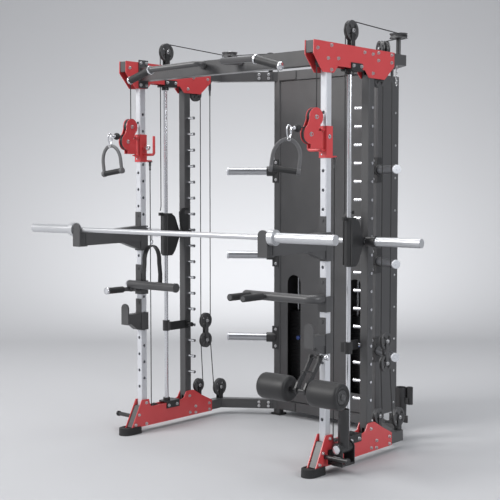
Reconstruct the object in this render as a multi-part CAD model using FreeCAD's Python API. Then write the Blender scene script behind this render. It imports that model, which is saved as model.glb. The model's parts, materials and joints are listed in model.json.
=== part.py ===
import FreeCAD, Part
import math
import os

V = FreeCAD.Vector
X_AXIS = V(1, 0, 0)
Y_AXIS = V(0, 1, 0)
Z_AXIS = V(0, 0, 1)

# ---------------------------------------------------------------- driving dimensions (mm)
# X is across the machine from its plane of symmetry, Y runs to the rear from the front
# uprights, Z is up from the floor.  save() moves the finished solids so that the origin is
# under the middle of the whole machine.
DEPTH_CENTRE = 321.5          # middle of the depth, measured from the front uprights

SIDE_X = 699.0                # centre plane of each side frame
RAIL_HALF = 25.0              # half width of the side rails
PLATE_THICK = 5.0
RAIL_BOTTOM = 40.0
RAIL_TOP = 100.0
ROOF_BOTTOM = 2176.0
ROOF_TOP = 2236.0
REAR_UPRIGHT_Y = 376.0
FRONT_TUBE = (40.0, 45.0)     # front upright section, X by Y
REAR_TUBE = (50.0, 53.0)
TUBE_WALL = 3.0
HOLE_PITCH = 100.0
HOLE_R = 9.0

ROD_Y = 207.0
ROD_R = 12.5
ROD_BOTTOM = 160.0
ROD_TOP = 2108.0

BAR_Y = 317.0                 # guided bar
BAR_Z = 1203.0
BAR_SHAFT_R = 14.5
SLEEVE_R = 25.0
BAR_END_X = 1084.0
SLEEVE_START_X = 803.0

PIN_TOP_Z = 1925.0            # highest rack pin
PIN_COUNT = 17
PIN_R = 8.0
PIN_LENGTH = 58.0

POST_X = 379.0                # rear posts
POST_Y = 924.0
POST_HALF = 25.0
BEND_Y = 700.0                # where the rear beams turn inward
COVER_REAR_Y = 1160.0

STACK_X = 240.0               # weight stacks
STACK_Y = 1050.0
PLATE_SIZE = (196.0, 120.0, 24.0)
PLATE_PITCH = 25.0
STACK_BASE_Z = 104.0
REST_PLATES = 16
LIFTED_PLATES = 6
STEM_R = 12.0

PULLEY_WIDTH = 20.0
TOP_PULLEY_Y = 218.0          # counterbalance pulleys
TOP_PULLEY_Z = 2322.0
TOP_PULLEY_R = 55.0
CABLE_R = 3.0

CARRIAGE_Z = (1646.0, 1810.0)     # red sliding carriage
PLUNGER_Z = 1730.0                # level with a hole in the upright's side
HEAD_TURN = 7.0                   # the pulley heads stand turned a little inward
SWIVEL_Y = -46.0
HEAD_AXLES = ((-90.0, 1853.0), (-128.0, 1764.0))
HEAD_PULLEY_R = 46.0

BARBELL_Y = -478.0
BARBELL_Z = 1252.0
BARBELL_R = 14.0
BARBELL_COLLAR_X = 731.0
BARBELL_END_X = 1120.0

ARM_TIP_Y = -506.0            # spotter arms
ROLLER_Y = -194.0
ROLLER_Z = 457.0
ROLLER_R = 69.0
DIP_Z = 908.0
LONG_DIP_Z = 914.0
LIP_HALF = 30.0                 # half width of the bar catches' upturned lips
TUBE_CORNER = 5.0              # outer corner radius of the square tubes


# ---------------------------------------------------------------- building helpers
def box(x0, x1, y0, y1, z0, z1):
    low = V(min(x0, x1), min(y0, y1), min(z0, z1))
    return Part.makeBox(abs(x1 - x0), abs(y1 - y0), abs(z1 - z0), low)


def rounded_box(x0, x1, y0, y1, z0, z1, radius=None):
    """Upright box whose four vertical edges are rounded."""
    solid = box(x0, x1, y0, y1, z0, z1)
    upright = [edge for edge in solid.Edges if abs(edge.BoundBox.ZLength - (z1 - z0)) < 0.01]
    return solid.makeFillet(radius or TUBE_CORNER, upright)


def rod(start, end, radius):
    start = V(*start)
    along = V(*end) - start
    return Part.makeCylinder(radius, along.Length, start, along)


def pipe(start, end, outer, inner):
    return rod(start, end, outer).cut(rod(start, end, inner))


def ball(centre, radius, axis=Z_AXIS):
    """Sphere whose poles lie on the given axis."""
    half = Part.makeSphere(radius, V(0, 0, 0), V(0, 0, 1))
    half.Placement = FreeCAD.Placement(V(*centre), FreeCAD.Rotation(Z_AXIS, axis))
    return half


def prism_x(outline, x0, x1):
    """Outline of (y, z) points, extruded along X."""
    points = [V(min(x0, x1), y, z) for y, z in outline]
    face = Part.Face(Part.makePolygon(points + points[:1]))
    return face.extrude(V(abs(x1 - x0), 0, 0))


def prism_z(outline, z0, z1):
    """Outline of (x, y) points, extruded along Z."""
    points = [V(x, y, z0) for x, y in outline]
    face = Part.Face(Part.makePolygon(points + points[:1]))
    return face.extrude(V(0, 0, z1 - z0))


def fuse(shapes):
    result = shapes[0]
    for shape in shapes[1:]:
        result = result.fuse(shape)
    return result.removeSplitter()


def mirror(shape):
    return shape.mirror(V(0, 0, 0), X_AXIS)


def both(shapes):
    """The given solids and their mirror images on the other side."""
    return shapes + [mirror(shape) for shape in shapes]


def pulley(centre, axis, radius, width, bore, slots=True):
    """Grooved wheel with four crossed slots."""
    half = width / 2
    groove = radius - 7
    profile = [(bore, -half), (radius, -half), (radius, -half + 3), (groove, -2.5),
               (groove, 2.5), (radius, half - 3), (radius, half), (bore, half)]
    points = [V(0, r, x) for r, x in profile]
    wheel = Part.Face(Part.makePolygon(points + points[:1])).revolve(V(0, 0, 0), Z_AXIS, 360)
    if slots:
        for angle in (45, 135, 225, 315):
            slot = box(bore + 8, groove - 8, -3.5, 3.5, -half - 1, half + 1)
            slot.rotate(V(0, 0, 0), Z_AXIS, angle)
            wheel = wheel.cut(slot)
    turn = FreeCAD.Rotation(Z_AXIS, V(*axis))
    wheel.Placement = FreeCAD.Placement(V(*centre), turn)
    return wheel


def rounded_pipe(points, bend, outer, inner=0.0):
    """Tube along straight runs joined by tangent arcs of radius bend."""
    corners = [V(*point) for point in points]
    edges = []
    cursor = corners[0]
    for before, corner, after in zip(corners, corners[1:], corners[2:]):
        into = (corner - before).normalize()
        out = (after - corner).normalize()
        half_turn = into.getAngle(out) / 2
        reach = bend * math.tan(half_turn)
        start = corner - into * reach
        end = corner + out * reach
        inward = (out - into).normalize()
        middle = corner + inward * (bend / math.cos(half_turn) - bend)
        edges.append(Part.LineSegment(cursor, start).toShape())
        edges.append(Part.Arc(start, middle, end).toShape())
        cursor = end
    edges.append(Part.LineSegment(cursor, corners[-1]).toShape())
    path = Part.Wire(edges)
    direction = corners[1] - corners[0]

    def swept(radius):
        ring = Part.Wire(Part.Circle(corners[0], direction, radius).toShape())
        return path.makePipeShell([ring], True, False)

    solid = swept(outer)
    if inner > 0:
        solid = solid.cut(swept(inner))
    return solid


def offset_strip(points, half):
    """Both edges of a strip of the given half width along a plan path, mitred at its bends."""
    left = []
    right = []
    count = len(points)
    for index, (x, y) in enumerate(points):
        before = points[max(index - 1, 0)]
        after = points[min(index + 1, count - 1)]
        into = V(x - before[0], y - before[1], 0)
        out = V(after[0] - x, after[1] - y, 0)
        into = out if index == 0 else into
        out = into if index == count - 1 else out
        into.normalize()
        out.normalize()
        normal = V(-into.y - out.y, into.x + out.x, 0).normalize()
        reach = half / normal.dot(V(-into.y, into.x, 0))
        left.append((x + normal.x * reach, y + normal.y * reach))
        right.append((x - normal.x * reach, y - normal.y * reach))
    return left, right


def bolt_head(x_face, side, y, z, radius=8.5):
    """Hexagon head and washer standing on a plate face that looks along X."""
    washer = rod((x_face, y, z), (x_face + side * 2, y, z), radius + 2)
    circle = [(math.cos(math.radians(a)), math.sin(math.radians(a))) for a in range(0, 360, 60)]
    head = prism_x([(y + radius * c, z + radius * s) for c, s in circle],
                   x_face + side * 2, x_face + side * 9)
    return washer.fuse(head)


def save(node, shapes):
    """Write one sub-part, moved to the machine's own origin."""
    solids = []
    for shape in shapes:
        solids.extend(shape.Solids)
    group = Part.makeCompound(solids)
    group.translate(V(0, -DEPTH_CENTRE, 0))
    group.exportStep("parts/" + node + ".step")
    print(node, len(solids), round(sum(solid.Volume for solid in solids) / 1e3, 1))


# ---------------------------------------------------------------- frame
PLATE_IN = SIDE_X - RAIL_HALF - PLATE_THICK      # outer face of the inner plates
PLATE_OUT = SIDE_X + RAIL_HALF + PLATE_THICK     # outer face of the outer plates
FOOT_OUTLINE = [(-115, 36), (-30, 200), (28, 198), (38, 158), (52, 150), (300, 150), (330, 158),
                (352, 194), (362, 199), (412, 199), (424, 195), (492, 156), (590, 108), (590, 36)]
ROOF_OUTLINE = [(-141, 2238), (585, 2238), (585, 2160), (490, 2082), (345, 2082), (308, 2119),
                (62, 2121), (27, 2084), (-65, 2081), (-143, 2168)]


def side_plates(outline):
    inner = prism_x(outline, PLATE_IN, PLATE_IN + PLATE_THICK)
    outer = prism_x(outline, PLATE_OUT - PLATE_THICK, PLATE_OUT)
    return both([inner, outer])


def side_rails():
    foot = [(-104, 40), (-40, 164), (-22.5, 164), (-22.5, RAIL_TOP), (590, RAIL_TOP),
            (590, RAIL_BOTTOM)]
    roof = [(-138, ROOF_BOTTOM), (590, ROOF_BOTTOM), (590, ROOF_TOP), (-138, ROOF_TOP)]
    low, high = SIDE_X - RAIL_HALF, SIDE_X + RAIL_HALF
    roof_rail = prism_x(roof, low, high)
    roof_rail = roof_rail.cut(box(SIDE_X - 8, SIDE_X + 8, 150, 176, ROOF_BOTTOM, ROOF_TOP))
    return both([prism_x(foot, low, high), roof_rail])


def hollow_upright(section, centre_y):
    half_x, half_y = section[0] / 2, section[1] / 2
    outside = rounded_box(SIDE_X - half_x, SIDE_X + half_x, centre_y - half_y, centre_y + half_y,
                          RAIL_TOP, ROOF_BOTTOM)
    inside = box(SIDE_X - half_x + TUBE_WALL, SIDE_X + half_x - TUBE_WALL,
                 centre_y - half_y + TUBE_WALL, centre_y + half_y - TUBE_WALL,
                 RAIL_TOP - 1, ROOF_BOTTOM + 1)
    return outside.cut(inside)


def cable_slot(centre_y, z0, z1):
    """Opening that lets a cable through an upright from front to rear."""
    return box(SIDE_X - 8, SIDE_X + 8, centre_y - 40, centre_y + 40, z0, z1)


def front_uprights():
    holes = [cable_slot(0, 2148, ROOF_BOTTOM)]
    for index in range(17):
        z = 280 + index * HOLE_PITCH
        holes.append(rod((SIDE_X, -40, z), (SIDE_X, 40, z), HOLE_R))
        holes.append(rod((SIDE_X - 40, 0, z + 50), (SIDE_X, 0, z + 50), HOLE_R))
    return both([hollow_upright(FRONT_TUBE, 0).cut(Part.makeCompound(holes))])


def rear_uprights():
    tube = hollow_upright(REAR_TUBE, REAR_UPRIGHT_Y)
    for z0, z1 in ((134, 172), (2100, 2145)):
        tube = tube.cut(cable_slot(REAR_UPRIGHT_Y, z0, z1))
    return both([tube])


def rack_pins():
    face = SIDE_X - REAR_TUBE[0] / 2
    far = SIDE_X + REAR_TUBE[0] / 2
    pins = []
    for index in range(PIN_COUNT):
        z = PIN_TOP_Z - index * HOLE_PITCH
        shank = rod((face, REAR_UPRIGHT_Y, z), (face - PIN_LENGTH + 12, REAR_UPRIGHT_Y, z), PIN_R)
        tip = rod((face - PIN_LENGTH + 12, REAR_UPRIGHT_Y, z),
                  (face - PIN_LENGTH, REAR_UPRIGHT_Y, z), PIN_R + 1.5)
        nut = rod((far, REAR_UPRIGHT_Y, z), (far + 8, REAR_UPRIGHT_Y, z), PIN_R)
        pins += [shank.fuse(tip), nut]
    return both(pins)


def rod_mounts():
    shapes = []
    for base, flap, ring, ring_end in ((2108, 2150, 2108, 2090), (160, 116, 160, 178)):
        step = 8 if ring_end < ring else -8
        y0, y1 = (175, 275) if step > 0 else (176, 286)
        plate = box(PLATE_IN - 6, PLATE_OUT + 6, y0, y1, base, base + step)
        inner = box(PLATE_IN - 6, PLATE_IN, y0, y1, base, flap)
        outer = box(PLATE_OUT, PLATE_OUT + 6, y0, y1, base, flap)
        holder = pipe((SIDE_X, ROD_Y, ring), (SIDE_X, ROD_Y, ring_end), 22, ROD_R + 0.05)
        shapes.append(fuse([plate, inner, outer, holder]))
    return both(shapes)


def guide_rods():
    smith = rod((SIDE_X, ROD_Y, ROD_BOTTOM), (SIDE_X, ROD_Y, ROD_TOP), ROD_R)
    shapes = [smith]
    for offset in (-75, 75):
        x = STACK_X + offset
        shapes.append(rod((x, STACK_Y, STACK_BASE_Z), (x, STACK_Y, 2169), 10))
    return both(shapes)


def post_cutter():
    post = box(POST_X - POST_HALF, POST_X + POST_HALF, POST_Y - POST_HALF, POST_Y + POST_HALF,
               0, 2400)
    return Part.makeCompound([post, mirror(post)])


def rear_beams():
    path = [(SIDE_X, 590), (SIDE_X, BEND_Y), (POST_X, POST_Y), (-POST_X, POST_Y),
            (-SIDE_X, BEND_Y), (-SIDE_X, 590)]
    left, right = offset_strip(path, RAIL_HALF)
    shapes = []
    for z0, z1 in ((RAIL_BOTTOM, RAIL_TOP), (ROOF_BOTTOM, ROOF_TOP)):
        for index in range(len(path) - 1):
            run = [left[index], left[index + 1], right[index + 1], right[index]]
            shapes += prism_z(run, z0, z1).cut(post_cutter()).Solids
    shapes.append(box(-POST_X, POST_X, POST_Y + POST_HALF, COVER_REAR_Y - 10, 92, STACK_BASE_Z))
    return shapes + splice_plates()


def splice_plates():
    """Doubling plates bolted over the joints of the diagonal and straight beams."""
    along = V(POST_X - SIDE_X, POST_Y - BEND_Y, 0).normalize()
    angle = math.degrees(math.atan2(along.y, along.x))
    shapes = []
    for z0, z1 in ((RAIL_BOTTOM + 4, RAIL_TOP - 4), (ROOF_BOTTOM + 4, ROOF_TOP - 4)):
        straight = box(POST_X - 160, POST_X - POST_HALF, POST_Y - 31, POST_Y - 25, z0, z1)
        slanted = box(-150, -44, 25, 31, z0, z1)
        slanted.rotate(V(0, 0, 0), Z_AXIS, angle)
        slanted.translate(V(POST_X, POST_Y, 0))
        shapes += [straight, slanted]
    return both(shapes)


def rear_posts():
    return both([rounded_box(POST_X - POST_HALF, POST_X + POST_HALF, POST_Y - POST_HALF,
                             POST_Y + POST_HALF, 12, ROOF_TOP, 9)])


SHOE = (SIDE_X + 2, -98.0)     # middle of a front shoe
SHOE_LENGTH = 156.0
SHOE_FLOOR = 36.0              # the foot plates stand on this level


def shoe_layer(half_width, z0, z1):
    """One level of the long oval shoe."""
    x, y = SHOE
    reach = SHOE_LENGTH / 2 - half_width
    outline = []
    for step in range(26):
        turn = math.radians(180 * (step % 13) / 12)
        flip = 1 if step < 13 else -1
        outline.append((x + flip * half_width * math.cos(turn),
                        y + flip * (reach + half_width * math.sin(turn))))
    return prism_z(outline, z0, z1)


def rubber_feet():
    shoe = fuse([shoe_layer(44, 0, 12), shoe_layer(42, 12, 32), shoe_layer(40, 32, 44)])
    shoe = shoe.cut(box(SIDE_X - 36, SIDE_X + 36, -140, 0, SHOE_FLOOR, 60))
    post = box(POST_X - 36, POST_X + 36, POST_Y - 36, POST_Y + 36, 0, 12)
    return both([shoe, post])


def shroud_front():
    panel = box(-POST_X + POST_HALF, POST_X - POST_HALF, 909, 912, RAIL_TOP + 4, ROOF_BOTTOM - 4)
    for side in (-1, 1):
        x = side * STACK_X
        arch = rod((x, 900, 874), (x, 920, 874), 54)
        panel = panel.cut(box(x - 54, x + 54, 900, 920, 220, 874)).cut(arch)
    return [panel]


def shroud_back():
    """Side, rear and top panels of the cover over the weight stacks."""
    wall = 3
    y0, y1 = POST_Y + POST_HALF, COVER_REAR_Y - wall
    z0, z1 = STACK_BASE_Z + 1, 2169
    side = box(POST_X, POST_X + wall, y0, y1, z0, z1)
    rear = box(-POST_X - wall, POST_X + wall, y1, COVER_REAR_Y, z0, z1)
    top = box(-POST_X - wall, POST_X + wall, y0, COVER_REAR_Y, z1, z1 + wall)
    return both([side]) + [rear, top]


# ---------------------------------------------------------------- weight stacks
def stack_plate(index):
    """One weight plate with clearance holes for the stem and both guide rods."""
    z = STACK_BASE_Z + index * PLATE_PITCH
    half_x, half_y = PLATE_SIZE[0] / 2, PLATE_SIZE[1] / 2
    plate = box(STACK_X - half_x, STACK_X + half_x, STACK_Y - half_y, STACK_Y + half_y,
                z, z + PLATE_SIZE[2])
    for offset, radius in ((-75, 11), (0, STEM_R + 2), (75, 11)):
        plate = plate.cut(rod((STACK_X + offset, STACK_Y, z - 1),
                              (STACK_X + offset, STACK_Y, z + 30), radius))
    return plate


SELECTOR_Z = STACK_BASE_Z + REST_PLATES * PLATE_PITCH + PLATE_SIZE[2] / 2


def selector_hole():
    return rod((STACK_X, STACK_Y - 100, SELECTOR_Z), (STACK_X, STACK_Y + 30, SELECTOR_Z), 6)


def weight_plates():
    return both([stack_plate(index) for index in range(REST_PLATES)])


def stack_head():
    plates = [stack_plate(REST_PLATES + index) for index in range(LIFTED_PLATES)]
    plates[0] = plates[0].cut(selector_hole())
    top_z = STACK_BASE_Z + (REST_PLATES + LIFTED_PLATES) * PLATE_PITCH
    half_x, half_y = PLATE_SIZE[0] / 2, PLATE_SIZE[1] / 2
    head = box(STACK_X - half_x, STACK_X + half_x, STACK_Y - half_y, STACK_Y + half_y,
               top_z, top_z + 32)
    for offset in (-75, 75):
        head = head.cut(rod((STACK_X + offset, STACK_Y, top_z - 1),
                            (STACK_X + offset, STACK_Y, top_z + 40), 11))
    stem = rod((STACK_X, STACK_Y, STACK_BASE_Z + 10), (STACK_X, STACK_Y, top_z + 10), STEM_R)
    eye = rod((STACK_X, STACK_Y, top_z + 30), (STACK_X, STACK_Y, top_z + 70), 9)
    return plates + [fuse([head, stem, eye]).cut(selector_hole())]


def selector_pin():
    pin = rod((STACK_X, STACK_Y - 78, SELECTOR_Z), (STACK_X, STACK_Y + 20, SELECTOR_Z), 5.5)
    knob = rod((STACK_X, STACK_Y - 100, SELECTOR_Z), (STACK_X, STACK_Y - 78, SELECTOR_Z), 13)
    return [pin.fuse(knob)]


# ---------------------------------------------------------------- storage horns
HORN_AXIS = V(0.82, -0.572, 0).normalize()
HORN_LEVELS = (510.0, 1051.0, 1597.0)


def along_horn(distance, z):
    point = V(POST_X, POST_Y, z) + HORN_AXIS * distance
    return (point.x, point.y, point.z)


def storage_horns():
    shapes = []
    for z in HORN_LEVELS:
        shapes.append(pipe(along_horn(80, z), along_horn(330, z), 24.5, 20))
        shapes.append(rod(along_horn(330, z), along_horn(338, z), 24.5))
    return both(shapes)


def horn_brackets():
    shapes = []
    for z in HORN_LEVELS:
        strap = box(POST_X + POST_HALF, POST_X + POST_HALF + 6, POST_Y - 31, POST_Y + 25,
                    z - 75, z + 75)
        front = box(POST_X - 18, POST_X + POST_HALF + 6, POST_Y - 31, POST_Y - 25, z - 75, z + 75)
        hub = rod(along_horn(20, z), along_horn(80, z), 32)
        keep_out = box(POST_X - 60, POST_X + POST_HALF, POST_Y - POST_HALF, POST_Y + 60,
                       z - 100, z + 100)
        shapes.append(fuse([strap, front, hub]).cut(keep_out))
    return both(shapes)


# ---------------------------------------------------------------- guided bar
def smith_housings():
    """Bearing housings on the guide rods with the plates that carry the bar."""
    x0, x1 = SIDE_X - 25, SIDE_X + 25
    body = box(x0, x1, ROD_Y, ROD_Y + 34, 1070, 1332)
    body = body.fuse(rod((SIDE_X, ROD_Y, 1070), (SIDE_X, ROD_Y, 1332), 25))
    body = body.cut(rod((SIDE_X, ROD_Y, 1000), (SIDE_X, ROD_Y, 1400), 20))
    wing = [(ROD_Y - 14, 1078), (ROD_Y + 34, 1078), (ROD_Y + 52, 1100), (BAR_Y - 22, 1180),
            (BAR_Y + 6, 1184), (BAR_Y + 12, BAR_Z), (BAR_Y + 6, 1222), (BAR_Y - 22, 1226),
            (ROD_Y + 52, 1310), (ROD_Y + 34, 1324), (ROD_Y - 14, 1324)]
    plates = []
    for low, high in ((x0 - 6, x0), (x1, x1 + 6)):
        plates.append(prism_x(wing, low, high))
    bearing = pipe((x0 - 6, BAR_Y, BAR_Z), (x1 + 6, BAR_Y, BAR_Z), 24, BAR_SHAFT_R + 0.05)
    holes = rod((x0 - 20, BAR_Y, BAR_Z), (x1 + 20, BAR_Y, BAR_Z), BAR_SHAFT_R + 0.05)
    eye = pipe((SIDE_X - 6, 158, 1345), (SIDE_X + 6, 158, 1345), 10, 4)
    lug = box(SIDE_X - 6, SIDE_X + 6, 150, ROD_Y - 25, 1318, 1337)
    whole = fuse([body] + plates + [bearing]).cut(holes)
    return both([fuse([whole, lug, eye])])


def smith_bearings():
    """Linear bushings pressed into the housings."""
    return both([pipe((SIDE_X, ROD_Y, z0), (SIDE_X, ROD_Y, z1), 20, ROD_R + 0.05)
                 for z0, z1 in ((1072, 1150), (1252, 1330))])


def smith_shaft():
    return [rod((-BAR_END_X + 12, BAR_Y, BAR_Z), (BAR_END_X - 12, BAR_Y, BAR_Z), BAR_SHAFT_R)]


def smith_sleeves():
    sleeve = pipe((SLEEVE_START_X, BAR_Y, BAR_Z), (BAR_END_X - 12, BAR_Y, BAR_Z), SLEEVE_R,
                  BAR_SHAFT_R)
    cap = rod((BAR_END_X - 12, BAR_Y, BAR_Z), (BAR_END_X, BAR_Y, BAR_Z), SLEEVE_R)
    return both([fuse([sleeve, cap])])


LATCH_PIN_Z = 1325.0          # the rack pin that the hooks stand beside
HOOK_TILT = 26.0              # how far the hooks swing forward to clear the pins


def smith_hooks():
    """Latch hooks and plate collars, drawn latched and then turned clear of the pins."""
    reach_y, reach_z = REAR_UPRIGHT_Y - BAR_Y, LATCH_PIN_Z - BAR_Z
    reach = math.hypot(reach_y, reach_z)
    pin_angle = math.degrees(math.atan2(reach_z, reach_y))
    tip, root = pin_angle - 9, pin_angle + 5.5
    inner, outer = reach - 11.5, reach + 11.5
    polar = [(inner, tip), (inner, root), (outer, root), (outer, tip), (outer + 17, tip + 2),
             (outer + 18, root + 6), (outer, root + 16), (90, root + 28), (24, 140), (24, 10),
             (inner - 34, tip - 4)]
    outline = []
    for radius, angle in polar:
        turn = math.radians(angle)
        outline.append((BAR_Y + radius * math.cos(turn), BAR_Z + radius * math.sin(turn)))
    hook = prism_x(outline, 628, 640)
    hub = rod((600, BAR_Y, BAR_Z), (662, BAR_Y, BAR_Z), 24)
    hook = fuse([hook, hub])
    hook.rotate(V(0, BAR_Y, BAR_Z), X_AXIS, HOOK_TILT)
    collar = fuse([rod((742, BAR_Y, BAR_Z), (SLEEVE_START_X - 22, BAR_Y, BAR_Z), 27),
                   rod((SLEEVE_START_X - 22, BAR_Y, BAR_Z), (SLEEVE_START_X, BAR_Y, BAR_Z), 32)])
    bore = rod((500, BAR_Y, BAR_Z), (900, BAR_Y, BAR_Z), BAR_SHAFT_R)
    return both([hook.cut(bore), collar.cut(bore)])


def safety_stop():
    collar = pipe((SIDE_X, ROD_Y, 600), (SIDE_X, ROD_Y, 664), 22, ROD_R + 0.05)
    arm = box(SIDE_X - 46, SIDE_X - 36, ROD_Y - 5, 352, 606, 658)
    web = box(SIDE_X - 40, SIDE_X - 14, ROD_Y - 8, ROD_Y + 12, 606, 658)
    web = web.cut(rod((SIDE_X, ROD_Y, 590), (SIDE_X, ROD_Y, 680), ROD_R + 3))
    latch = box(SIDE_X - 60, SIDE_X - 46, 330, 360, 612, 652)
    knob = rod((SIDE_X - 90, 345, 632), (SIDE_X - 60, 345, 632), 14)
    return [fuse([collar, arm, web, latch, knob])]


# ---------------------------------------------------------------- pulleys and brackets
def counterbalance_pulleys():
    return both([pulley((SIDE_X, TOP_PULLEY_Y, TOP_PULLEY_Z), (1, 0, 0), TOP_PULLEY_R,
                        PULLEY_WIDTH, 8.1)])


CORNER_PULLEY = (650.0, 745.0, 2353.0)
POST_PULLEY = (436.0, 905.0, 2312.0)      # twin wheels that stand in line with the slanted beam
POST_PULLEY_R = 50.0
BEAM_TURN = math.degrees(math.atan2(POST_Y - BEND_Y, POST_X - SIDE_X))
BEAM_SIDE = (math.sin(math.radians(BEAM_TURN)), -math.cos(math.radians(BEAM_TURN)))


def over_post(shape):
    """Stand a shape made about the origin, with its wheel axis along Y, over the slanted beam."""
    shape.rotate(V(0, 0, 0), Z_AXIS, BEAM_TURN)
    shape.translate(V(*POST_PULLEY))
    return shape


def fixed_pulleys():
    """Corner pulleys, the twins over the posts, roof pulleys and base pulleys."""
    shapes = [pulley(CORNER_PULLEY, (0, 0, 1), 52, 28, 8.1, False)]
    for across in (-17, 17):
        twin = pulley((0, across, 0), (0, 1, 0), POST_PULLEY_R, PULLEY_WIDTH, 8.1, False)
        shapes.append(over_post(twin))
    shapes.append(pulley((SIDE_X, 474, 2086), (1, 0, 0), 48, PULLEY_WIDTH, 8.1))
    shapes.append(pulley((SIDE_X, 495, 215), (1, 0, 0), 43, PULLEY_WIDTH, 8.1))
    shapes.append(pulley((SIDE_X, 696, 175), (1, 0, 0), 56, PULLEY_WIDTH, 8.1))
    shapes.append(pulley((SIDE_X, 100, 131), (1, 0, 0), 28, 18, 6.1, False))
    shapes.append(pulley((SIDE_X, -54, 2136), (1, 0, 0), 29, 18, 6.1, False))
    return both(shapes)


def cheeks(y, z, radius, foot, axle, gap=11.0):
    """Two round-ended cheek plates on a base, with an axle between them."""
    half = radius * 0.3
    shapes = []
    for side in (-1, 1):
        inner = SIDE_X + side * gap
        outer = SIDE_X + side * (gap + 4)
        head = rod((inner, y, z), (outer, y, z), half)
        leg = box(inner, outer, y - half, y + half, min(foot, z), max(foot, z))
        shapes.append(head.fuse(leg))
    shapes.append(rod((SIDE_X - gap - 9, y, z), (SIDE_X + gap + 9, y, z), axle))
    return fuse(shapes)


def pulley_brackets():
    shapes = [cheeks(TOP_PULLEY_Y, TOP_PULLEY_Z, TOP_PULLEY_R, ROOF_TOP, 8),
              rod((PLATE_IN + 5, 474, 2086), (PLATE_OUT - 5, 474, 2086), 8),
              cheeks(495, 215, 43, RAIL_TOP, 8)]
    x, y, z = CORNER_PULLEY
    shapes.append(fuse([rod((x, y, ROOF_TOP), (x, y, z - 14), 13),
                        rod((x, y, ROOF_TOP), (x, y, z + 18), 8)]))
    drop = ROOF_TOP - POST_PULLEY[2]
    cheek = fuse([box(-14, 14, -2.5, 2.5, drop, 0), rod((0, -2.5, 0), (0, 2.5, 0), 14),
                  rod((0, -32, 0), (0, 32, 0), 8)])
    shapes.append(over_post(cheek))
    shapes.append(cheeks(696, 175, 56, RAIL_TOP, 8))
    return both(shapes)


BLOCK_Y = 563.0
BLOCK_PULLEYS = (629.0, 503.0)


def floating_block():
    """Cheek plates and the two pulleys of the block that hangs in the cable loop."""
    shapes = []
    waist = [(BLOCK_Y - 18, BLOCK_PULLEYS[1]), (BLOCK_Y + 18, BLOCK_PULLEYS[1]),
             (BLOCK_Y + 18, BLOCK_PULLEYS[0]), (BLOCK_Y - 18, BLOCK_PULLEYS[0])]
    for side in (-1, 1):
        inner, outer = SIDE_X + side * 11, SIDE_X + side * 15
        cheek = prism_x(waist, inner, outer)
        for z in BLOCK_PULLEYS:
            cheek = cheek.fuse(rod((inner, BLOCK_Y, z), (outer, BLOCK_Y, z), 18))
        shapes.append(cheek)
    for z in BLOCK_PULLEYS:
        shapes.append(rod((SIDE_X - 22, BLOCK_Y, z), (SIDE_X + 22, BLOCK_Y, z), 8))
    frame = fuse(shapes)
    wheels = [pulley((SIDE_X, BLOCK_Y, z), (1, 0, 0), 50, PULLEY_WIDTH, 8.1)
              for z in BLOCK_PULLEYS]
    return [frame] + wheels


# ---------------------------------------------------------------- cable carriage
def carriage_sleeve():
    """Red sleeve on the front upright with its hinge lugs and L-handle."""
    z0, z1 = CARRIAGE_Z
    gap = 0.4
    half_x, half_y = FRONT_TUBE[0] / 2 + gap, FRONT_TUBE[1] / 2 + gap
    wall = 4
    outside = box(SIDE_X - half_x - wall, SIDE_X + half_x + wall, -half_y - wall, half_y + wall,
                  z0, z1)
    inside = box(SIDE_X - half_x, SIDE_X + half_x, -half_y, half_y, z0 - 1, z1 + 1)
    shapes = [outside.cut(inside)]
    front = -half_y - wall
    for z in (z1 - 24, z0 + 34):
        lug = box(SIDE_X - 14, SIDE_X + 14, SWIVEL_Y - 10, front, z, z + 8)
        shapes.append(lug.cut(rod((SIDE_X, SWIVEL_Y, z - 1), (SIDE_X, SWIVEL_Y, z + 9), 5.05)))
    side = SIDE_X - half_x - wall
    low = z0 + 42
    handle = rounded_pipe([(side + 1, 0, low), (side - 90, 0, low), (side - 90, 0, low + 110)], 14, 8)
    socket = rod((side + 1, 0, PLUNGER_Z), (side - 12, 0, PLUNGER_Z), 12)
    fitting = rod((SIDE_X, 75, z0 - 14), (SIDE_X, 75, z0 + 10), 7)
    ear = box(SIDE_X - 8, SIDE_X + 8, half_y + wall, 84, z0 + 4, z0 + 12)
    whole = fuse(shapes + [handle, socket, fitting, ear])
    return [whole.cut(rod((side - 20, 0, PLUNGER_Z), (SIDE_X, 0, PLUNGER_Z), 5.05))]


def plunger():
    """Spring plunger of the carriage with its ball knob."""
    side = SIDE_X - FRONT_TUBE[0] / 2 - 4.4
    pin = rod((side + 4, 0, PLUNGER_Z), (side - 26, 0, PLUNGER_Z), 5)
    return [fuse([pin, ball((side - 36, 0, PLUNGER_Z), 14, X_AXIS)])]


def turned(shape):
    """The shape turned about the swivel by the rest angle of the right pulley head."""
    shape = shape.copy()
    shape.rotate(V(SIDE_X, SWIVEL_Y, 0), Z_AXIS, -HEAD_TURN)
    return shape


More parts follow.
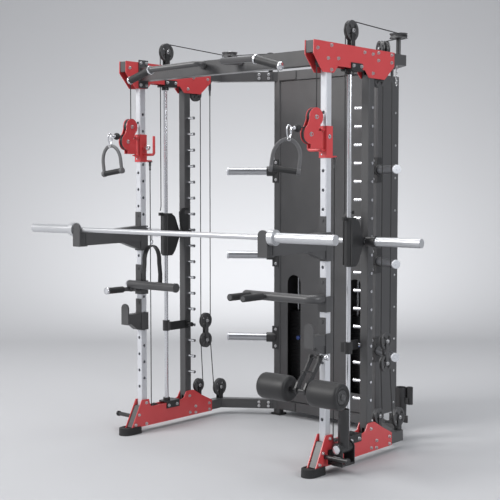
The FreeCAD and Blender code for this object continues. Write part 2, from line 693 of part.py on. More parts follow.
def head_plates():
    """Two bean-shaped cheeks, their bolts and the swivel knuckle."""
    (y_up, z_up), (y_low, z_low) = HEAD_AXLES
    z0, z1 = CARRIAGE_Z
    shapes = []
    along = V(0, y_low - y_up, z_low - z_up).normalize()
    across = V(0, -along.z, along.y) * 40
    waist = [(y_up + across.y, z_up + across.z), (y_up - across.y, z_up - across.z),
             (y_low - across.y, z_low - across.z), (y_low + across.y, z_low + across.z)]
    for side in (-1, 1):
        inner, outer = SIDE_X + side * 11, SIDE_X + side * 15
        cheek = prism_x(waist, inner, outer)
        cheek = cheek.fuse(rod((inner, y_up, z_up), (outer, y_up, z_up), 48))
        cheek = cheek.fuse(rod((inner, y_low, z_low), (outer, y_low, z_low), 50))
        tail = [(y_low, z0 + 46), (SWIVEL_Y - 12, z0 + 46), (SWIVEL_Y - 12, z1 - 28), (y_low, z1 - 28)]
        cheek = cheek.fuse(prism_x(tail, inner, outer))
        shapes.append(cheek)
        for y, z in HEAD_AXLES:
            shapes.append(rod((outer, y, z), (outer + side * 7, y, z), 9))
    knuckle = box(SIDE_X - 15, SIDE_X + 15, SWIVEL_Y - 20, SWIVEL_Y - 6, z0 + 46, z1 - 28)
    shaft = rod((SIDE_X, SWIVEL_Y, z0 + 30), (SIDE_X, SWIVEL_Y, z1 - 12), 5)
    sleeve = rod((SIDE_X, SWIVEL_Y, z0 + 46), (SIDE_X, SWIVEL_Y, z1 - 28), 8)
    for y, z in HEAD_AXLES:
        shapes.append(rod((SIDE_X - 16, y, z), (SIDE_X + 16, y, z), 8))
    return [turned(fuse(shapes + [knuckle, shaft, sleeve]))]


def head_pulleys():
    return [turned(pulley((SIDE_X, y, z), (1, 0, 0), HEAD_PULLEY_R, PULLEY_WIDTH, 8.1, False))
            for y, z in HEAD_AXLES]


BALL_Y = -212.0
BALL_Z = 1792.0
HANDLE_TURN = {1: 41.0, -1: -5.0}         # how far each grip hangs turned about its hook


def pull_handle(side):
    """Ball stop, snap hook and arched handle, hung so that the grip faces outward."""
    stop = ball((SIDE_X, BALL_Y, BALL_Z), 17, Y_AXIS)
    neck = rod((SIDE_X, BALL_Y - 12, BALL_Z), (SIDE_X, BALL_Y - 46, BALL_Z), 6)
    hook_y = BALL_Y - 58
    loop = [(SIDE_X, hook_y + 12, 1792), (SIDE_X, hook_y - 6, 1802), (SIDE_X, hook_y - 14, 1786),
            (SIDE_X, hook_y - 6, 1736), (SIDE_X, hook_y + 6, 1736), (SIDE_X, hook_y + 14, 1786),
            (SIDE_X, hook_y + 12, 1792)]
    hook = rounded_pipe(loop, 4, 4)
    hanging = turned(fuse([stop, neck, hook]))
    centre = V(SIDE_X, hook_y, 0)
    centre = FreeCAD.Placement(V(0, 0, 0), FreeCAD.Rotation(Z_AXIS, -HEAD_TURN),
                               V(SIDE_X, SWIVEL_Y, 0)).multVec(centre)
    handle = arched_handle(centre.x, centre.y)
    handle.rotate(centre, Z_AXIS, HANDLE_TURN[side])
    return [hanging, handle]


def arched_handle(x, y):
    half = 78
    shoulder, crown, foot = 1640, 98, 1556
    arch = []
    for step in range(17):
        angle = math.radians(180 * step / 16)
        arch.append((half * math.cos(angle), shoulder + crown * math.sin(angle)))
    outer = arch + [(-half, foot), (half, foot)]
    inner = [(px * 0.80, foot + (pz - foot) * 0.88) for px, pz in arch]
    inner += [(-half * 0.80, foot - 12), (half * 0.80, foot - 12)]

    def slab(outline, thick):
        points = [V(x + px, y - thick / 2, pz) for px, pz in outline]
        return Part.Face(Part.makePolygon(points + points[:1])).extrude(V(0, thick, 0))

    hoop = slab(outer, 20).cut(slab(inner, 40))
    eye_z = shoulder + crown - 4
    eye = rod((x, y - 8, eye_z), (x, y + 8, eye_z), 12)
    grip = rod((x - half - 5, y, foot + 10), (x + half + 5, y, foot + 10), 16)
    hole = rod((x, y - 30, eye_z + 1), (x, y + 30, eye_z + 1), 6)
    return fuse([hoop, eye, grip]).cut(hole)


# ---------------------------------------------------------------- accessories
WING_CORNER = (389.0, -203.0, 2161.0)
WING_DIRECTION = V(170, -3, -49).normalize()
WING_GRIP_END = 176.0


def wing_point(side, distance):
    """A point along the outer, gripped run of a pull-up wing."""
    point = V(*WING_CORNER) + WING_DIRECTION * distance
    return (side * point.x, point.y, point.z)


def pull_up_beam():
    beam = box(-PLATE_IN + 6, PLATE_IN - 6, -34, 26, 2126, 2206)
    ends = both([box(PLATE_IN - 6, PLATE_IN, -44, 30, 2086, 2252)])
    wings = []
    for side in (-1, 1):
        tube = rounded_pipe([(side * 150, -30, 2176), (side * 56, -128, 2180),
                             wing_point(side, 0), wing_point(side, WING_GRIP_END)], 30, 17)
        flange = rod(wing_point(side, 6), wing_point(side, 14), 24)
        tip = rod(wing_point(side, WING_GRIP_END), wing_point(side, WING_GRIP_END + 14), 20)
        wings += [tube, flange, tip]
    return [fuse([beam] + ends + wings)]


def wing_grips():
    """Rubber grips of the pull-up wings and of both dip handles."""
    shapes = []
    for side in (-1, 1):
        shapes.append(pipe(wing_point(side, 15), wing_point(side, WING_GRIP_END - 1), 21, 17.05))
    for x in DIP_GRIPS_X:
        shapes.append(pipe((x, -128, LONG_DIP_Z), (x, DIP_TIP_Y, LONG_DIP_Z), 19, 13.05))
    x, tip = SHORT_DIP
    shapes.append(pipe((x, -118, DIP_Z - 30), (x, tip + 14, DIP_Z - 30), 19, 13.05))
    return shapes


DIP_GRIPS_X = (284.0, 376.0)
DIP_TIP_Y = -284.0
SHORT_DIP = (-740.0, -250.0)   # the single grip's X, and the Y of its end


def upright_strap(side, z0, z1, hole_z):
    """Back strap and side cheeks that clamp an accessory to a front upright."""
    x = side * SIDE_X
    half_x, half_y = FRONT_TUBE[0] / 2, FRONT_TUBE[1] / 2
    face = box(x - half_x - 3, x + half_x + 3, -half_y - 5, -half_y, z0, z1)
    cheeks_low = box(x - half_x - 8, x + half_x + 8, -half_y - 5, half_y + 6, z0, hole_z)
    tube = box(x - half_x, x + half_x, -half_y, half_y + 20, z0 - 5, z1 + 5)
    bolt = rod((x, -half_y - 5, z1 - 22), (x, -half_y - 9, z1 - 22), 9)
    return fuse([face, cheeks_low, bolt]).cut(tube)


def dip_handles():
    """Left: short cross tube with one grip.  Right: long bent tube with two grips."""
    grip_x, tip = SHORT_DIP
    left = rounded_pipe([(-738, -62, DIP_Z), (-350, -62, DIP_Z)], 30, 24)
    left_end = ball((-738, -62, DIP_Z), 24, X_AXIS)
    left_cap = rod((-350, -62, DIP_Z), (-338, -62, DIP_Z), 27)
    left_grip = rod((grip_x, -62, DIP_Z - 30), (grip_x, tip + 6, DIP_Z - 30), 13)
    left_knob = rod((grip_x, tip + 14, DIP_Z - 30), (grip_x, tip, DIP_Z - 30), 19)
    link = box(-754, -712, -70, -40, DIP_Z - 45, DIP_Z - 5)
    left_all = [left, left_end, left_cap, left_grip, left_knob, link,
                upright_strap(-1, DIP_Z - 62, DIP_Z + 118, DIP_Z + 20),
                box(-718, -680, -64, -26, DIP_Z - 40, DIP_Z + 20)]
    right = rounded_pipe([(SIDE_X, -22, LONG_DIP_Z), (SIDE_X, -96, LONG_DIP_Z),
                          (236, -96, LONG_DIP_Z)], 50, 24)
    right_end = ball((236, -96, LONG_DIP_Z), 24, X_AXIS)
    rods = [rod((x, -100, LONG_DIP_Z), (x, DIP_TIP_Y, LONG_DIP_Z), 13) for x in DIP_GRIPS_X]
    right_all = [right, right_end] + rods + [upright_strap(1, DIP_Z - 62, DIP_Z + 118, DIP_Z + 20)]
    tube = box(SIDE_X - 20, SIDE_X + 20, -22.5, 30, 700, 1100)
    return [fuse(left_all).cut(mirror(tube)), fuse(right_all).cut(tube)]


def spotter_arm(side):
    """Tapered box arm with an upturned lip at its tip and a gusset at the upright."""
    x = side * SIDE_X
    arm = prism_x([(ARM_TIP_Y + 50, 1160), (-22.5, 1168), (-22.5, 1262), (ARM_TIP_Y + 50, 1232)],
                  x - 27, x + 27)
    lip = fuse([box(x - LIP_HALF, x + LIP_HALF, ARM_TIP_Y, ARM_TIP_Y + 10, 1155, 1258),
                rod((x, ARM_TIP_Y, 1258), (x, ARM_TIP_Y + 10, 1258), LIP_HALF),
                box(x - 27, x + 27, ARM_TIP_Y, ARM_TIP_Y + 60, 1155, 1165)])
    cradle = prism_x([(ARM_TIP_Y + 8, 1160), (ARM_TIP_Y + 70, 1160), (ARM_TIP_Y + 70, 1237),
                      (ARM_TIP_Y + 8, 1237)], x - 24, x + 24)
    gusset = prism_x([(-22.5, 1120), (-60, 1128), (-190, 1172), (-22.5, 1172)], x - 22, x + 22)
    strap = upright_strap(side, 1112, 1345, 1262)
    tube = box(x - 20, x + 20, -22.5, 60, 1000, 1500)
    return fuse([arm, lip, cradle, gusset, strap]).cut(tube)


CUP_TIP_Y = -140.0


def j_cup(side):
    """Short bar catch with an upturned lip."""
    x = side * SIDE_X
    z = 668
    lip = fuse([box(x - LIP_HALF, x + LIP_HALF, CUP_TIP_Y, CUP_TIP_Y + 10, z, z + 97),
                rod((x, CUP_TIP_Y, z + 97), (x, CUP_TIP_Y + 10, z + 97), LIP_HALF)])
    seat = box(x - 24, x + 24, CUP_TIP_Y + 5, -22.5, z + 4, z + 62)
    gusset = prism_x([(-22.5, z - 38), (-56, z - 34), (-112, z + 8), (-22.5, z + 8)],
                     x - 20, x + 20)
    strap = upright_strap(side, z - 40, z + 150, z + 66)
    tube = box(x - 20, x + 20, -22.5, 60, 500, 1000)
    return fuse([lip, seat, gusset, strap]).cut(tube)


def leg_arm():
    """Curved twin-bar arm hung from the right catch, with the roller axle."""
    path = [(-96, 628), (-104, 600), (-150, 540), (-196, 500), (-214, 470), (-210, 440),
            (-176, 446), (-168, 476), (-108, 552), (-64, 604), (-62, 628)]
    bars = []
    for x in (SIDE_X - 34, SIDE_X + 24):
        bars.append(prism_x(path, x, x + 10))
    ties = [box(SIDE_X - 34, SIDE_X + 34, -90, -68, 612, 618),
            box(SIDE_X - 34, SIDE_X + 34, -150, -130, 545, 551)]
    axle = rod((SIDE_X - 262, ROLLER_Y, ROLLER_Z), (SIDE_X + 262, ROLLER_Y, ROLLER_Z), 12)
    knob_rod = rod((SIDE_X, -79, 622), (SIDE_X + 62, -79, 622), 6)
    knob = ball((SIDE_X + 70, -79, 622), 15, X_AXIS)
    return [fuse(bars + ties + [axle, knob_rod, knob])]


def foam_roller(side):
    inner = SIDE_X + side * 70
    outer = SIDE_X + side * 258
    roller = pipe((inner, ROLLER_Y, ROLLER_Z), (outer, ROLLER_Y, ROLLER_Z), ROLLER_R, 12.1)
    edge = rod((outer, ROLLER_Y, ROLLER_Z), (outer - side * 10, ROLLER_Y, ROLLER_Z), 40)
    rims = [rim for rim in roller.Edges if rim.Closed and rim.BoundBox.ZLength > 2 * ROLLER_R - 1]
    return [roller.makeFillet(12, rims).cut(edge)]


LANDMINE_X = 790.0
LANDMINE_Z = 132.0


def landmine_bracket():
    base = box(PLATE_OUT, LANDMINE_X + 32, -4, 92, 44, 56)
    wall = box(PLATE_OUT, PLATE_OUT + 6, -10, 98, 44, 120)
    shapes = [base, wall]
    for y0, y1 in ((-12, -4), (92, 100)):
        ear = fuse([box(LANDMINE_X - 33, LANDMINE_X + 33, y0, y1, 44, LANDMINE_Z),
                    rod((LANDMINE_X, y0, LANDMINE_Z), (LANDMINE_X, y1, LANDMINE_Z), 33)])
        shapes.append(ear)
    shapes.append(rod((LANDMINE_X, -22, LANDMINE_Z), (LANDMINE_X, 108, LANDMINE_Z), 9))
    shapes.append(rod((LANDMINE_X, -12, LANDMINE_Z), (LANDMINE_X, -20, LANDMINE_Z), 22))
    return [fuse(shapes)]


def landmine_sleeve():
    hub = rod((LANDMINE_X, -3.5, LANDMINE_Z), (LANDMINE_X, 91.5, LANDMINE_Z), 28)
    tube = rod((LANDMINE_X, 44, LANDMINE_Z), (LANDMINE_X, 44, 338), 30)
    bore = rod((LANDMINE_X, 44, LANDMINE_Z + 40), (LANDMINE_X, 44, 340), 26)
    axle = rod((LANDMINE_X, -10, LANDMINE_Z), (LANDMINE_X, 98, LANDMINE_Z), 9.06)
    return [fuse([hub, tube]).cut(bore).cut(axle)]


def band_pegs():
    peg = fuse([rod((PLATE_OUT, -36, 90), (PLATE_OUT + 150, -36, 90), 12),
                rod((PLATE_OUT + 140, -36, 90), (PLATE_OUT + 152, -36, 90), 16)])
    return both([peg])


def bar_holders():
    """Two upright tubes beside the rear beam that store spare bars."""
    arm = box(540, 664, 846, 858, 108, 150)
    big = pipe((600, 880, 104), (600, 880, 309), 33, 29)
    floor = rod((600, 880, 104), (600, 880, 110), 30)
    small = pipe((648, 900, 209), (648, 900, 312), 19, 15)
    link = box(600, 648, 874, 886, 214, 250).cut(rod((600, 880, 100), (600, 880, 400), 30))
    link2 = box(640, 652, 874, 890, 214, 250)
    foot = box(540, 612, 800, 856, 100, 108)
    body = fuse([arm, foot, big, floor, link, link2, small])
    bores = fuse([rod((600, 880, 110), (600, 880, 400), 29),
                  rod((648, 900, 214), (648, 900, 400), 15)])
    return [body.cut(bores)]


def barbell_shaft():
    return [rod((-BARBELL_END_X + 20, BARBELL_Y, BARBELL_Z), (BARBELL_END_X - 20, BARBELL_Y, BARBELL_Z),
                BARBELL_R)]


def barbell_sleeve():
    bore = BARBELL_R + 0.06
    flange = pipe((BARBELL_COLLAR_X, BARBELL_Y, BARBELL_Z), (BARBELL_COLLAR_X + 32, BARBELL_Y, BARBELL_Z),
                  39, bore)
    sleeve = pipe((BARBELL_COLLAR_X + 30, BARBELL_Y, BARBELL_Z), (BARBELL_END_X - 12, BARBELL_Y, BARBELL_Z),
                  SLEEVE_R, bore)
    cap = rod((BARBELL_END_X - 12, BARBELL_Y, BARBELL_Z), (BARBELL_END_X, BARBELL_Y, BARBELL_Z), SLEEVE_R)
    return [fuse([flange, sleeve, cap])]


# ---------------------------------------------------------------- fasteners
FOOT_BOLTS = ((-55, 112), (-84, 55), (5, 178), (5, 50), (381, 165), (436, 90), (385, 58),
              (435, 50), (563, 90), (563, 50))
ROOF_BOLTS = ((-113, 2199), (3, 2222), (-25, 2154), (63, 2160), (3, 2097), (298, 2213),
              (375, 2211), (427, 2222), (427, 2181), (556, 2222), (556, 2180), (376, 2108))


def frame_bolts():
    shapes = []
    for side in (-1, 1):
        for y, z in FOOT_BOLTS + ROOF_BOLTS:
            if not (side > 0 and under_landmine(y, z)):
                shapes.append(bolt_head(side * PLATE_OUT, side, y, z))
            if not under_beam_end(y, z):
                shapes.append(bolt_head(side * PLATE_IN, -side, y, z))
        for y in (192, 262):
            for z in (2134, 134):
                shapes.append(bolt_head(side * (PLATE_OUT + 6), side, y, z))
                shapes.append(bolt_head(side * (PLATE_IN - 6), -side, y, z))
        for y in (-30, 16):
            for z in (2104, 2234):
                shapes.append(bolt_head(side * (PLATE_IN - 6), -side, y, z))
    return shapes + splice_bolts()


def splice_bolts():
    """Bolt heads on the doubling plates of the slanted roof and foot beams, on both faces."""
    shapes = []
    for z0, z1 in ((RAIL_BOTTOM, RAIL_TOP), (ROOF_BOTTOM, ROOF_TOP)):
        for along in (-128, -66):
            for z in (z0 + 18, z1 - 18):
                head = rod((along, 31, z), (along, 37, z), 8.5)
                head = head.cut(rod((along, 34, z), (along, 38, z), 4.5))
                head.rotate(V(0, 0, 0), Z_AXIS, BEAM_TURN)
                head.translate(V(POST_X, POST_Y, 0))
                shapes.append(head)
    return both(shapes)


def under_landmine(y, z):
    """True where the landmine bracket covers the outer foot plate."""
    return -24 < y < 112 and z < 132


def under_beam_end(y, z):
    """True where the pull-up beam's end plate covers the inner roof plate."""
    return -60 < y < 45 and z > 2070


# ---------------------------------------------------------------- cables
def cables():
    shapes = []
    top = TOP_PULLEY_Z + TOP_PULLEY_R - 7 + CABLE_R + 0.5
    front = TOP_PULLEY_Y - TOP_PULLEY_R + 7 - CABLE_R - 0.5
    shapes.append(rod((SIDE_X, front, 1358), (SIDE_X, front, TOP_PULLEY_Z), CABLE_R))
    x, y, z = CORNER_PULLEY
    turned_x, turned_y = x + 49 * BEAM_SIDE[0], y + 49 * BEAM_SIDE[1]
    over_x, over_y, over_z = POST_PULLEY
    over = (over_x + 17 * BEAM_SIDE[0], over_y + 17 * BEAM_SIDE[1], over_z + POST_PULLEY_R - 3)
    shapes.append(rod((SIDE_X, TOP_PULLEY_Y, top), (x + 49, y, z), CABLE_R))
    shapes.append(rod((turned_x, turned_y, z), over, CABLE_R))
    runs = [((-80, 1903), (-80, 2136)), ((75, 131), (75, 1630)),
            ((100, 105), (495, 174)), ((520, 2086), (518, 640)), ((608, 2130), (608, 640)),
            ((537, 215), (517, 495)), ((640, 175), (609, 489))]
    for (y0, z0), (y1, z1) in runs:
        shapes.append(rod((SIDE_X, y0, z0), (SIDE_X, y1, z1), CABLE_R))
    aside = (SIDE_X - 9, 165, 2142)
    shapes.append(rod((SIDE_X, -54, 2162), aside, CABLE_R))
    shapes.append(rod(aside, (SIDE_X, 474, 2131), CABLE_R))
    shapes.append(rod((STACK_X, STACK_Y, 730), (STACK_X, STACK_Y, 2165), CABLE_R))
    return both(shapes)


def counterweight():
    return [box(-55, 55, 1000, 1100, 1100, 1540)]


# ---------------------------------------------------------------- all sub-parts
def build():
    save("rubber_feet", rubber_feet())
    save("foot_side_plates", side_plates(FOOT_OUTLINE))
    save("top_side_plates", side_plates(ROOF_OUTLINE))
    save("side_rails", side_rails())
    save("front_uprights", front_uprights())
    save("rear_uprights", rear_uprights())
    save("rack_pins", rack_pins())
    save("rod_mounts", rod_mounts())
    save("guide_rods", guide_rods())
    save("rear_beams", rear_beams())
    save("rear_posts", rear_posts())
    save("shroud_front", shroud_front())
    save("shroud_back", shroud_back())
    save("weight_plates", weight_plates())
    save("storage_horns", storage_horns())
    save("horn_brackets", horn_brackets())
    save("frame_bolts", frame_bolts())
    save("pull_up_beam", pull_up_beam())
    save("hand_grips", wing_grips())
    save("pulley_brackets", pulley_brackets())
    save("fixed_pulleys", fixed_pulleys())
    save("spotter_arms", [spotter_arm(-1), spotter_arm(1)])
    save("j_cups", [j_cup(-1), j_cup(1)])
    save("dip_handles", dip_handles())
    save("leg_arm", leg_arm())
    save("landmine_bracket", landmine_bracket())
    save("landmine_sleeve", landmine_sleeve())
    save("band_pegs", band_pegs())
    save("bar_holders", bar_holders())
    save("cables", cables())
    save("smith_housings", smith_housings())
    save("smith_bearings", smith_bearings())
    save("smith_shaft", smith_shaft())
    save("smith_sleeves", smith_sleeves())
    save("smith_hooks", smith_hooks())
    save("counterbalance_pulleys", counterbalance_pulleys())
    save("counterweight", counterweight())
    save("barbell_shaft", barbell_shaft())
    save("foam_roller_inner", foam_roller(-1))
    save("foam_roller_outer", foam_roller(1))
    save("pull_handle_right", pull_handle(1))
    save("pull_handle_left", [mirror(shape) for shape in pull_handle(-1)])
    for name, shapes in (("safety_stop", safety_stop()), ("carriage_sleeve", carriage_sleeve()),
                         ("plunger", plunger()), ("head_plates", head_plates()),
                         ("head_pulleys", head_pulleys()), ("stack_head", stack_head()),
                         ("selector_pin", selector_pin()), ("floating_block", floating_block()),
                         ("barbell_sleeve", barbell_sleeve())):
        save(name + "_right", shapes)
        save(name + "_left", [mirror(shape) for shape in shapes])


os.makedirs("parts", exist_ok=True)
build()
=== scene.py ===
import json
import math

import bmesh
import bpy
from mathutils import Matrix, Vector


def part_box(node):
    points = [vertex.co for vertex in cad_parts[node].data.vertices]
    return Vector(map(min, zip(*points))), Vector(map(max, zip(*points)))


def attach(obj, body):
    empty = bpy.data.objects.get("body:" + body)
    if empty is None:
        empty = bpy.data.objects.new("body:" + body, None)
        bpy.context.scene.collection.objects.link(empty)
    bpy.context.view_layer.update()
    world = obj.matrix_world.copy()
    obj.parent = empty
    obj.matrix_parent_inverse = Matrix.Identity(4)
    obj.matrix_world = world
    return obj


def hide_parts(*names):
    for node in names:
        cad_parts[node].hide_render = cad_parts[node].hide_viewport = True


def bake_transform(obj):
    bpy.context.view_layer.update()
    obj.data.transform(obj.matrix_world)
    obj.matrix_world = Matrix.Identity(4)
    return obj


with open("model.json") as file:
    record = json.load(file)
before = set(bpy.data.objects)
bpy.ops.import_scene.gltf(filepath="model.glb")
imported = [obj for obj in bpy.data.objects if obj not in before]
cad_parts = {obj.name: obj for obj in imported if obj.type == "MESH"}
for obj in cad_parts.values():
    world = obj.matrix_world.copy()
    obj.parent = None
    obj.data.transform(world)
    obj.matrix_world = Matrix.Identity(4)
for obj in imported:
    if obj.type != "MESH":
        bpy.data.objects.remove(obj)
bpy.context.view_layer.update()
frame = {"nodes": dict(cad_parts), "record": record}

nodes = frame["nodes"]
scene = bpy.context.scene


# ---------------------------------------------------------------- camera, stage and light
DEPTH_SHIFT = 321.5            # from the front uprights back to the row frame's origin


def gauge(x, y, z):
    """Millimetres from the front uprights' plane to metres in the row frame."""
    return Vector((x / 1000, (y - DEPTH_SHIFT) / 1000, z / 1000))


def add_camera():
    data = bpy.data.cameras.new("camera")
    data.lens = 75.98
    data.sensor_width = 36
    data.clip_end = 100
    data.dof.use_dof = False
    camera = bpy.data.objects.new("camera", data)
    camera.location = (4.0134, -4.7046, 1.5022)
    camera.rotation_euler = (math.radians(86.52), 0, math.radians(41.19))
    scene.collection.objects.link(camera)
    scene.camera = camera


def add_light(name, location, target, size, power, colour=(1, 1, 1)):
    data = bpy.data.lights.new(name, "AREA")
    data.shape = "RECTANGLE"
    data.size = size
    data.size_y = size
    data.energy = power
    data.color = colour
    light = bpy.data.objects.new(name, data)
    light.location = location
    aim = Vector(target) - Vector(location)
    light.rotation_euler = aim.to_track_quat("-Z", "Y").to_euler()
    scene.collection.objects.link(light)


def add_stage():
    """A pale floor that curves up into a wall all round."""
    mesh = bpy.data.meshes.new("studio")
    bm = bmesh.new()
    radius, cove, height = 12.0, 7.5, 11.0
    cove_steps, round_steps = 24, 96
    profile = [(2.0, 0.0), (radius - cove, 0.0)]
    for step in range(1, cove_steps + 1):
        angle = math.radians(90 * step / cove_steps)
        profile.append((radius - cove + cove * math.sin(angle), cove - cove * math.cos(angle)))
    profile.append((radius, height))
    rings = []
    for r, z in profile:
        ring = []
        for step in range(round_steps):
            angle = 2 * math.pi * step / round_steps
            ring.append(bm.verts.new((r * math.cos(angle), r * math.sin(angle), z)))
        rings.append(ring)
    bm.faces.new(rings[0])
    for low, high in zip(rings, rings[1:]):
        for step in range(round_steps):
            after = (step + 1) % round_steps
            bm.faces.new((low[step], low[after], high[after], high[step]))
    bmesh.ops.recalc_face_normals(bm, faces=bm.faces)
    bm.to_mesh(mesh)
    bm.free()
    studio = bpy.data.objects.new("studio", mesh)
    scene.collection.objects.link(studio)
    for face in mesh.polygons:
        face.use_smooth = True
    mesh.materials.append(paper("studio_paper", (0.50, 0.505, 0.52), 0.9))
    world = bpy.data.worlds.new("studio_air")
    scene.world = world
    world.use_nodes = True
    back = world.node_tree.nodes["Background"]
    back.inputs["Color"].default_value = (0.90, 0.92, 0.97, 1)
    back.inputs["Strength"].default_value = 0.38
    scene.view_settings.view_transform = "Standard"


def paper(name, colour, rough):
    """Plain matt backdrop paper."""
    made = bpy.data.materials.new(name)
    made.use_nodes = True
    shader = made.node_tree.nodes["Principled BSDF"]
    shader.inputs["Base Color"].default_value = (*colour, 1)
    shader.inputs["Roughness"].default_value = rough
    return made


# ---------------------------------------------------------------- materials
CLOUD_SCALE = 9.0              # slow clouds of colour, about 0.1 m across
NOISE_LOW, NOISE_HIGH = 0.3, 0.7   # the range that noise values mostly fill
FINE_SHARE = 0.35              # how much of the variation is the fine grain


def finish_of(name, colour, rough, metallic=0.0, grain=700.0, bump=0.05, depth=0.0002,
              mottle=0.10, rough_vary=0.08, coat=0.0, coat_rough=0.1, stretch=(1, 1, 1),
              sheen=0.0, specular=0.5):
    """A surface with fine grain in its relief, and slow changes of colour and gloss.

    grain is the noise scale per metre, bump and depth its relief, mottle the share by which the
    colour varies, rough_vary the same for roughness, and stretch draws the grain out along an axis.
    """
    made = bpy.data.materials.new(name)
    made.use_nodes = True
    tree = made.node_tree
    nodes_, links = tree.nodes, tree.links
    shader = nodes_["Principled BSDF"]
    shader.inputs["Metallic"].default_value = metallic
    shader.inputs["Coat Weight"].default_value = coat
    shader.inputs["Coat Roughness"].default_value = coat_rough
    shader.inputs["Sheen Weight"].default_value = sheen
    shader.inputs["Specular IOR Level"].default_value = specular
    place = nodes_.new("ShaderNodeTexCoord")
    scale = nodes_.new("ShaderNodeMapping")
    scale.inputs["Scale"].default_value = stretch
    links.new(place.outputs["Object"], scale.inputs["Vector"])

    slow = nodes_.new("ShaderNodeTexNoise")
    slow.inputs["Scale"].default_value = CLOUD_SCALE
    slow.inputs["Detail"].default_value = 5.0
    slow.inputs["Roughness"].default_value = 0.6
    links.new(place.outputs["Object"], slow.inputs["Vector"])
    fine = nodes_.new("ShaderNodeTexNoise")
    fine.inputs["Scale"].default_value = grain
    fine.inputs["Detail"].default_value = 2.0
    links.new(scale.outputs["Vector"], fine.inputs["Vector"])

    tint = nodes_.new("ShaderNodeValToRGB")
    dark = [c * (1 - mottle) for c in colour]
    light = [min(1.0, c * (1 + mottle)) for c in colour]
    tint.color_ramp.elements[0].position = NOISE_LOW
    tint.color_ramp.elements[0].color = (*dark, 1)
    tint.color_ramp.elements[1].position = NOISE_HIGH
    tint.color_ramp.elements[1].color = (*light, 1)
    both = nodes_.new("ShaderNodeMix")
    both.data_type = "FLOAT"
    both.inputs["Factor"].default_value = FINE_SHARE
    links.new(slow.outputs["Fac"], both.inputs["A"])
    links.new(fine.outputs["Fac"], both.inputs["B"])
    links.new(both.outputs["Result"], tint.inputs["Fac"])
    links.new(tint.outputs["Color"], shader.inputs["Base Color"])

    gloss = nodes_.new("ShaderNodeMapRange")
    gloss.inputs["From Min"].default_value = NOISE_LOW
    gloss.inputs["From Max"].default_value = NOISE_HIGH
    gloss.inputs["To Min"].default_value = rough - rough_vary
    gloss.inputs["To Max"].default_value = rough + rough_vary
    links.new(both.outputs["Result"], gloss.inputs["Value"])
    links.new(gloss.outputs["Result"], shader.inputs["Roughness"])

    relief = nodes_.new("ShaderNodeBump")
    relief.inputs["Strength"].default_value = bump
    relief.inputs["Distance"].default_value = depth
    links.new(fine.outputs["Fac"], relief.inputs["Height"])
    links.new(relief.outputs["Normal"], shader.inputs["Normal"])
    return made


MATERIALS = {
    "rubber": finish_of("rubber", (0.020, 0.020, 0.021), 0.58, grain=500, bump=0.4, mottle=0.2),
    "red_coat": finish_of("red_coat", (0.64, 0.062, 0.068), 0.36, grain=420, bump=0.12,
                          mottle=0.04, coat=0.3, coat_rough=0.22),
    "charcoal_coat": finish_of("charcoal_coat", (0.074, 0.074, 0.076), 0.40, grain=650, bump=0.2,
                               mottle=0.10, coat=0.15, coat_rough=0.3),
    "black_coat": finish_of("black_coat", (0.024, 0.024, 0.025), 0.38, grain=650, bump=0.2,
                            mottle=0.15, coat=0.15, coat_rough=0.3),
    "silver_coat": finish_of("silver_coat", (0.74, 0.755, 0.79), 0.38, metallic=0.35, grain=500,
                             bump=0.05, mottle=0.03, rough_vary=0.04),
    "chrome": finish_of("chrome", (0.78, 0.79, 0.82), 0.20, metallic=0.92, grain=120, bump=0.002,
                        mottle=0.02, rough_vary=0.02),
    "zinc": finish_of("zinc", (0.66, 0.66, 0.67), 0.34, metallic=0.9, grain=500, bump=0.05,
                      mottle=0.06),
    "sleeve_steel": finish_of("sleeve_steel", (0.64, 0.65, 0.67), 0.33, metallic=0.65, grain=400,
                              bump=0.03, mottle=0.03, rough_vary=0.04, stretch=(0.05, 1, 1)),
    "horn_steel": finish_of("horn_steel", (0.48, 0.49, 0.51), 0.30, metallic=1.0, grain=400,
                            bump=0.02, mottle=0.04, rough_vary=0.04),
    "cable_sheath": finish_of("cable_sheath", (0.022, 0.022, 0.023), 0.35, grain=900, bump=0.2,
                              mottle=0.2),
    "pulley_plastic": finish_of("pulley_plastic", (0.075, 0.075, 0.077), 0.38, grain=900,
                                bump=0.15, mottle=0.15),
    "foam": finish_of("foam", (0.018, 0.018, 0.019), 0.52, grain=900, bump=0.35, mottle=0.2,
                      sheen=0.1),
    "grip_rubber": finish_of("grip_rubber", (0.024, 0.024, 0.025), 0.55, grain=700, bump=0.4,
                             mottle=0.2),
    "handle_plastic": finish_of("handle_plastic", (0.13, 0.13, 0.134), 0.38, grain=800,
                                bump=0.15, mottle=0.1),
    "knob_blue": finish_of("knob_blue", (0.03, 0.06, 0.22), 0.22, grain=500, bump=0.05,
                           mottle=0.1),
    "weight_steel": finish_of("weight_steel", (0.018, 0.018, 0.019), 0.45, grain=500, bump=0.3,
                              mottle=0.2),
}
SLOT_OF = {part["node"]: part["material_slot"] for part in frame["record"]["subparts"]}


def dress(obj, slot_name):
    """Give a carried-over CAD node its finish; its mesh stays as it is."""
    obj.data.materials.clear()
    obj.data.materials.append(MATERIALS[slot_name])


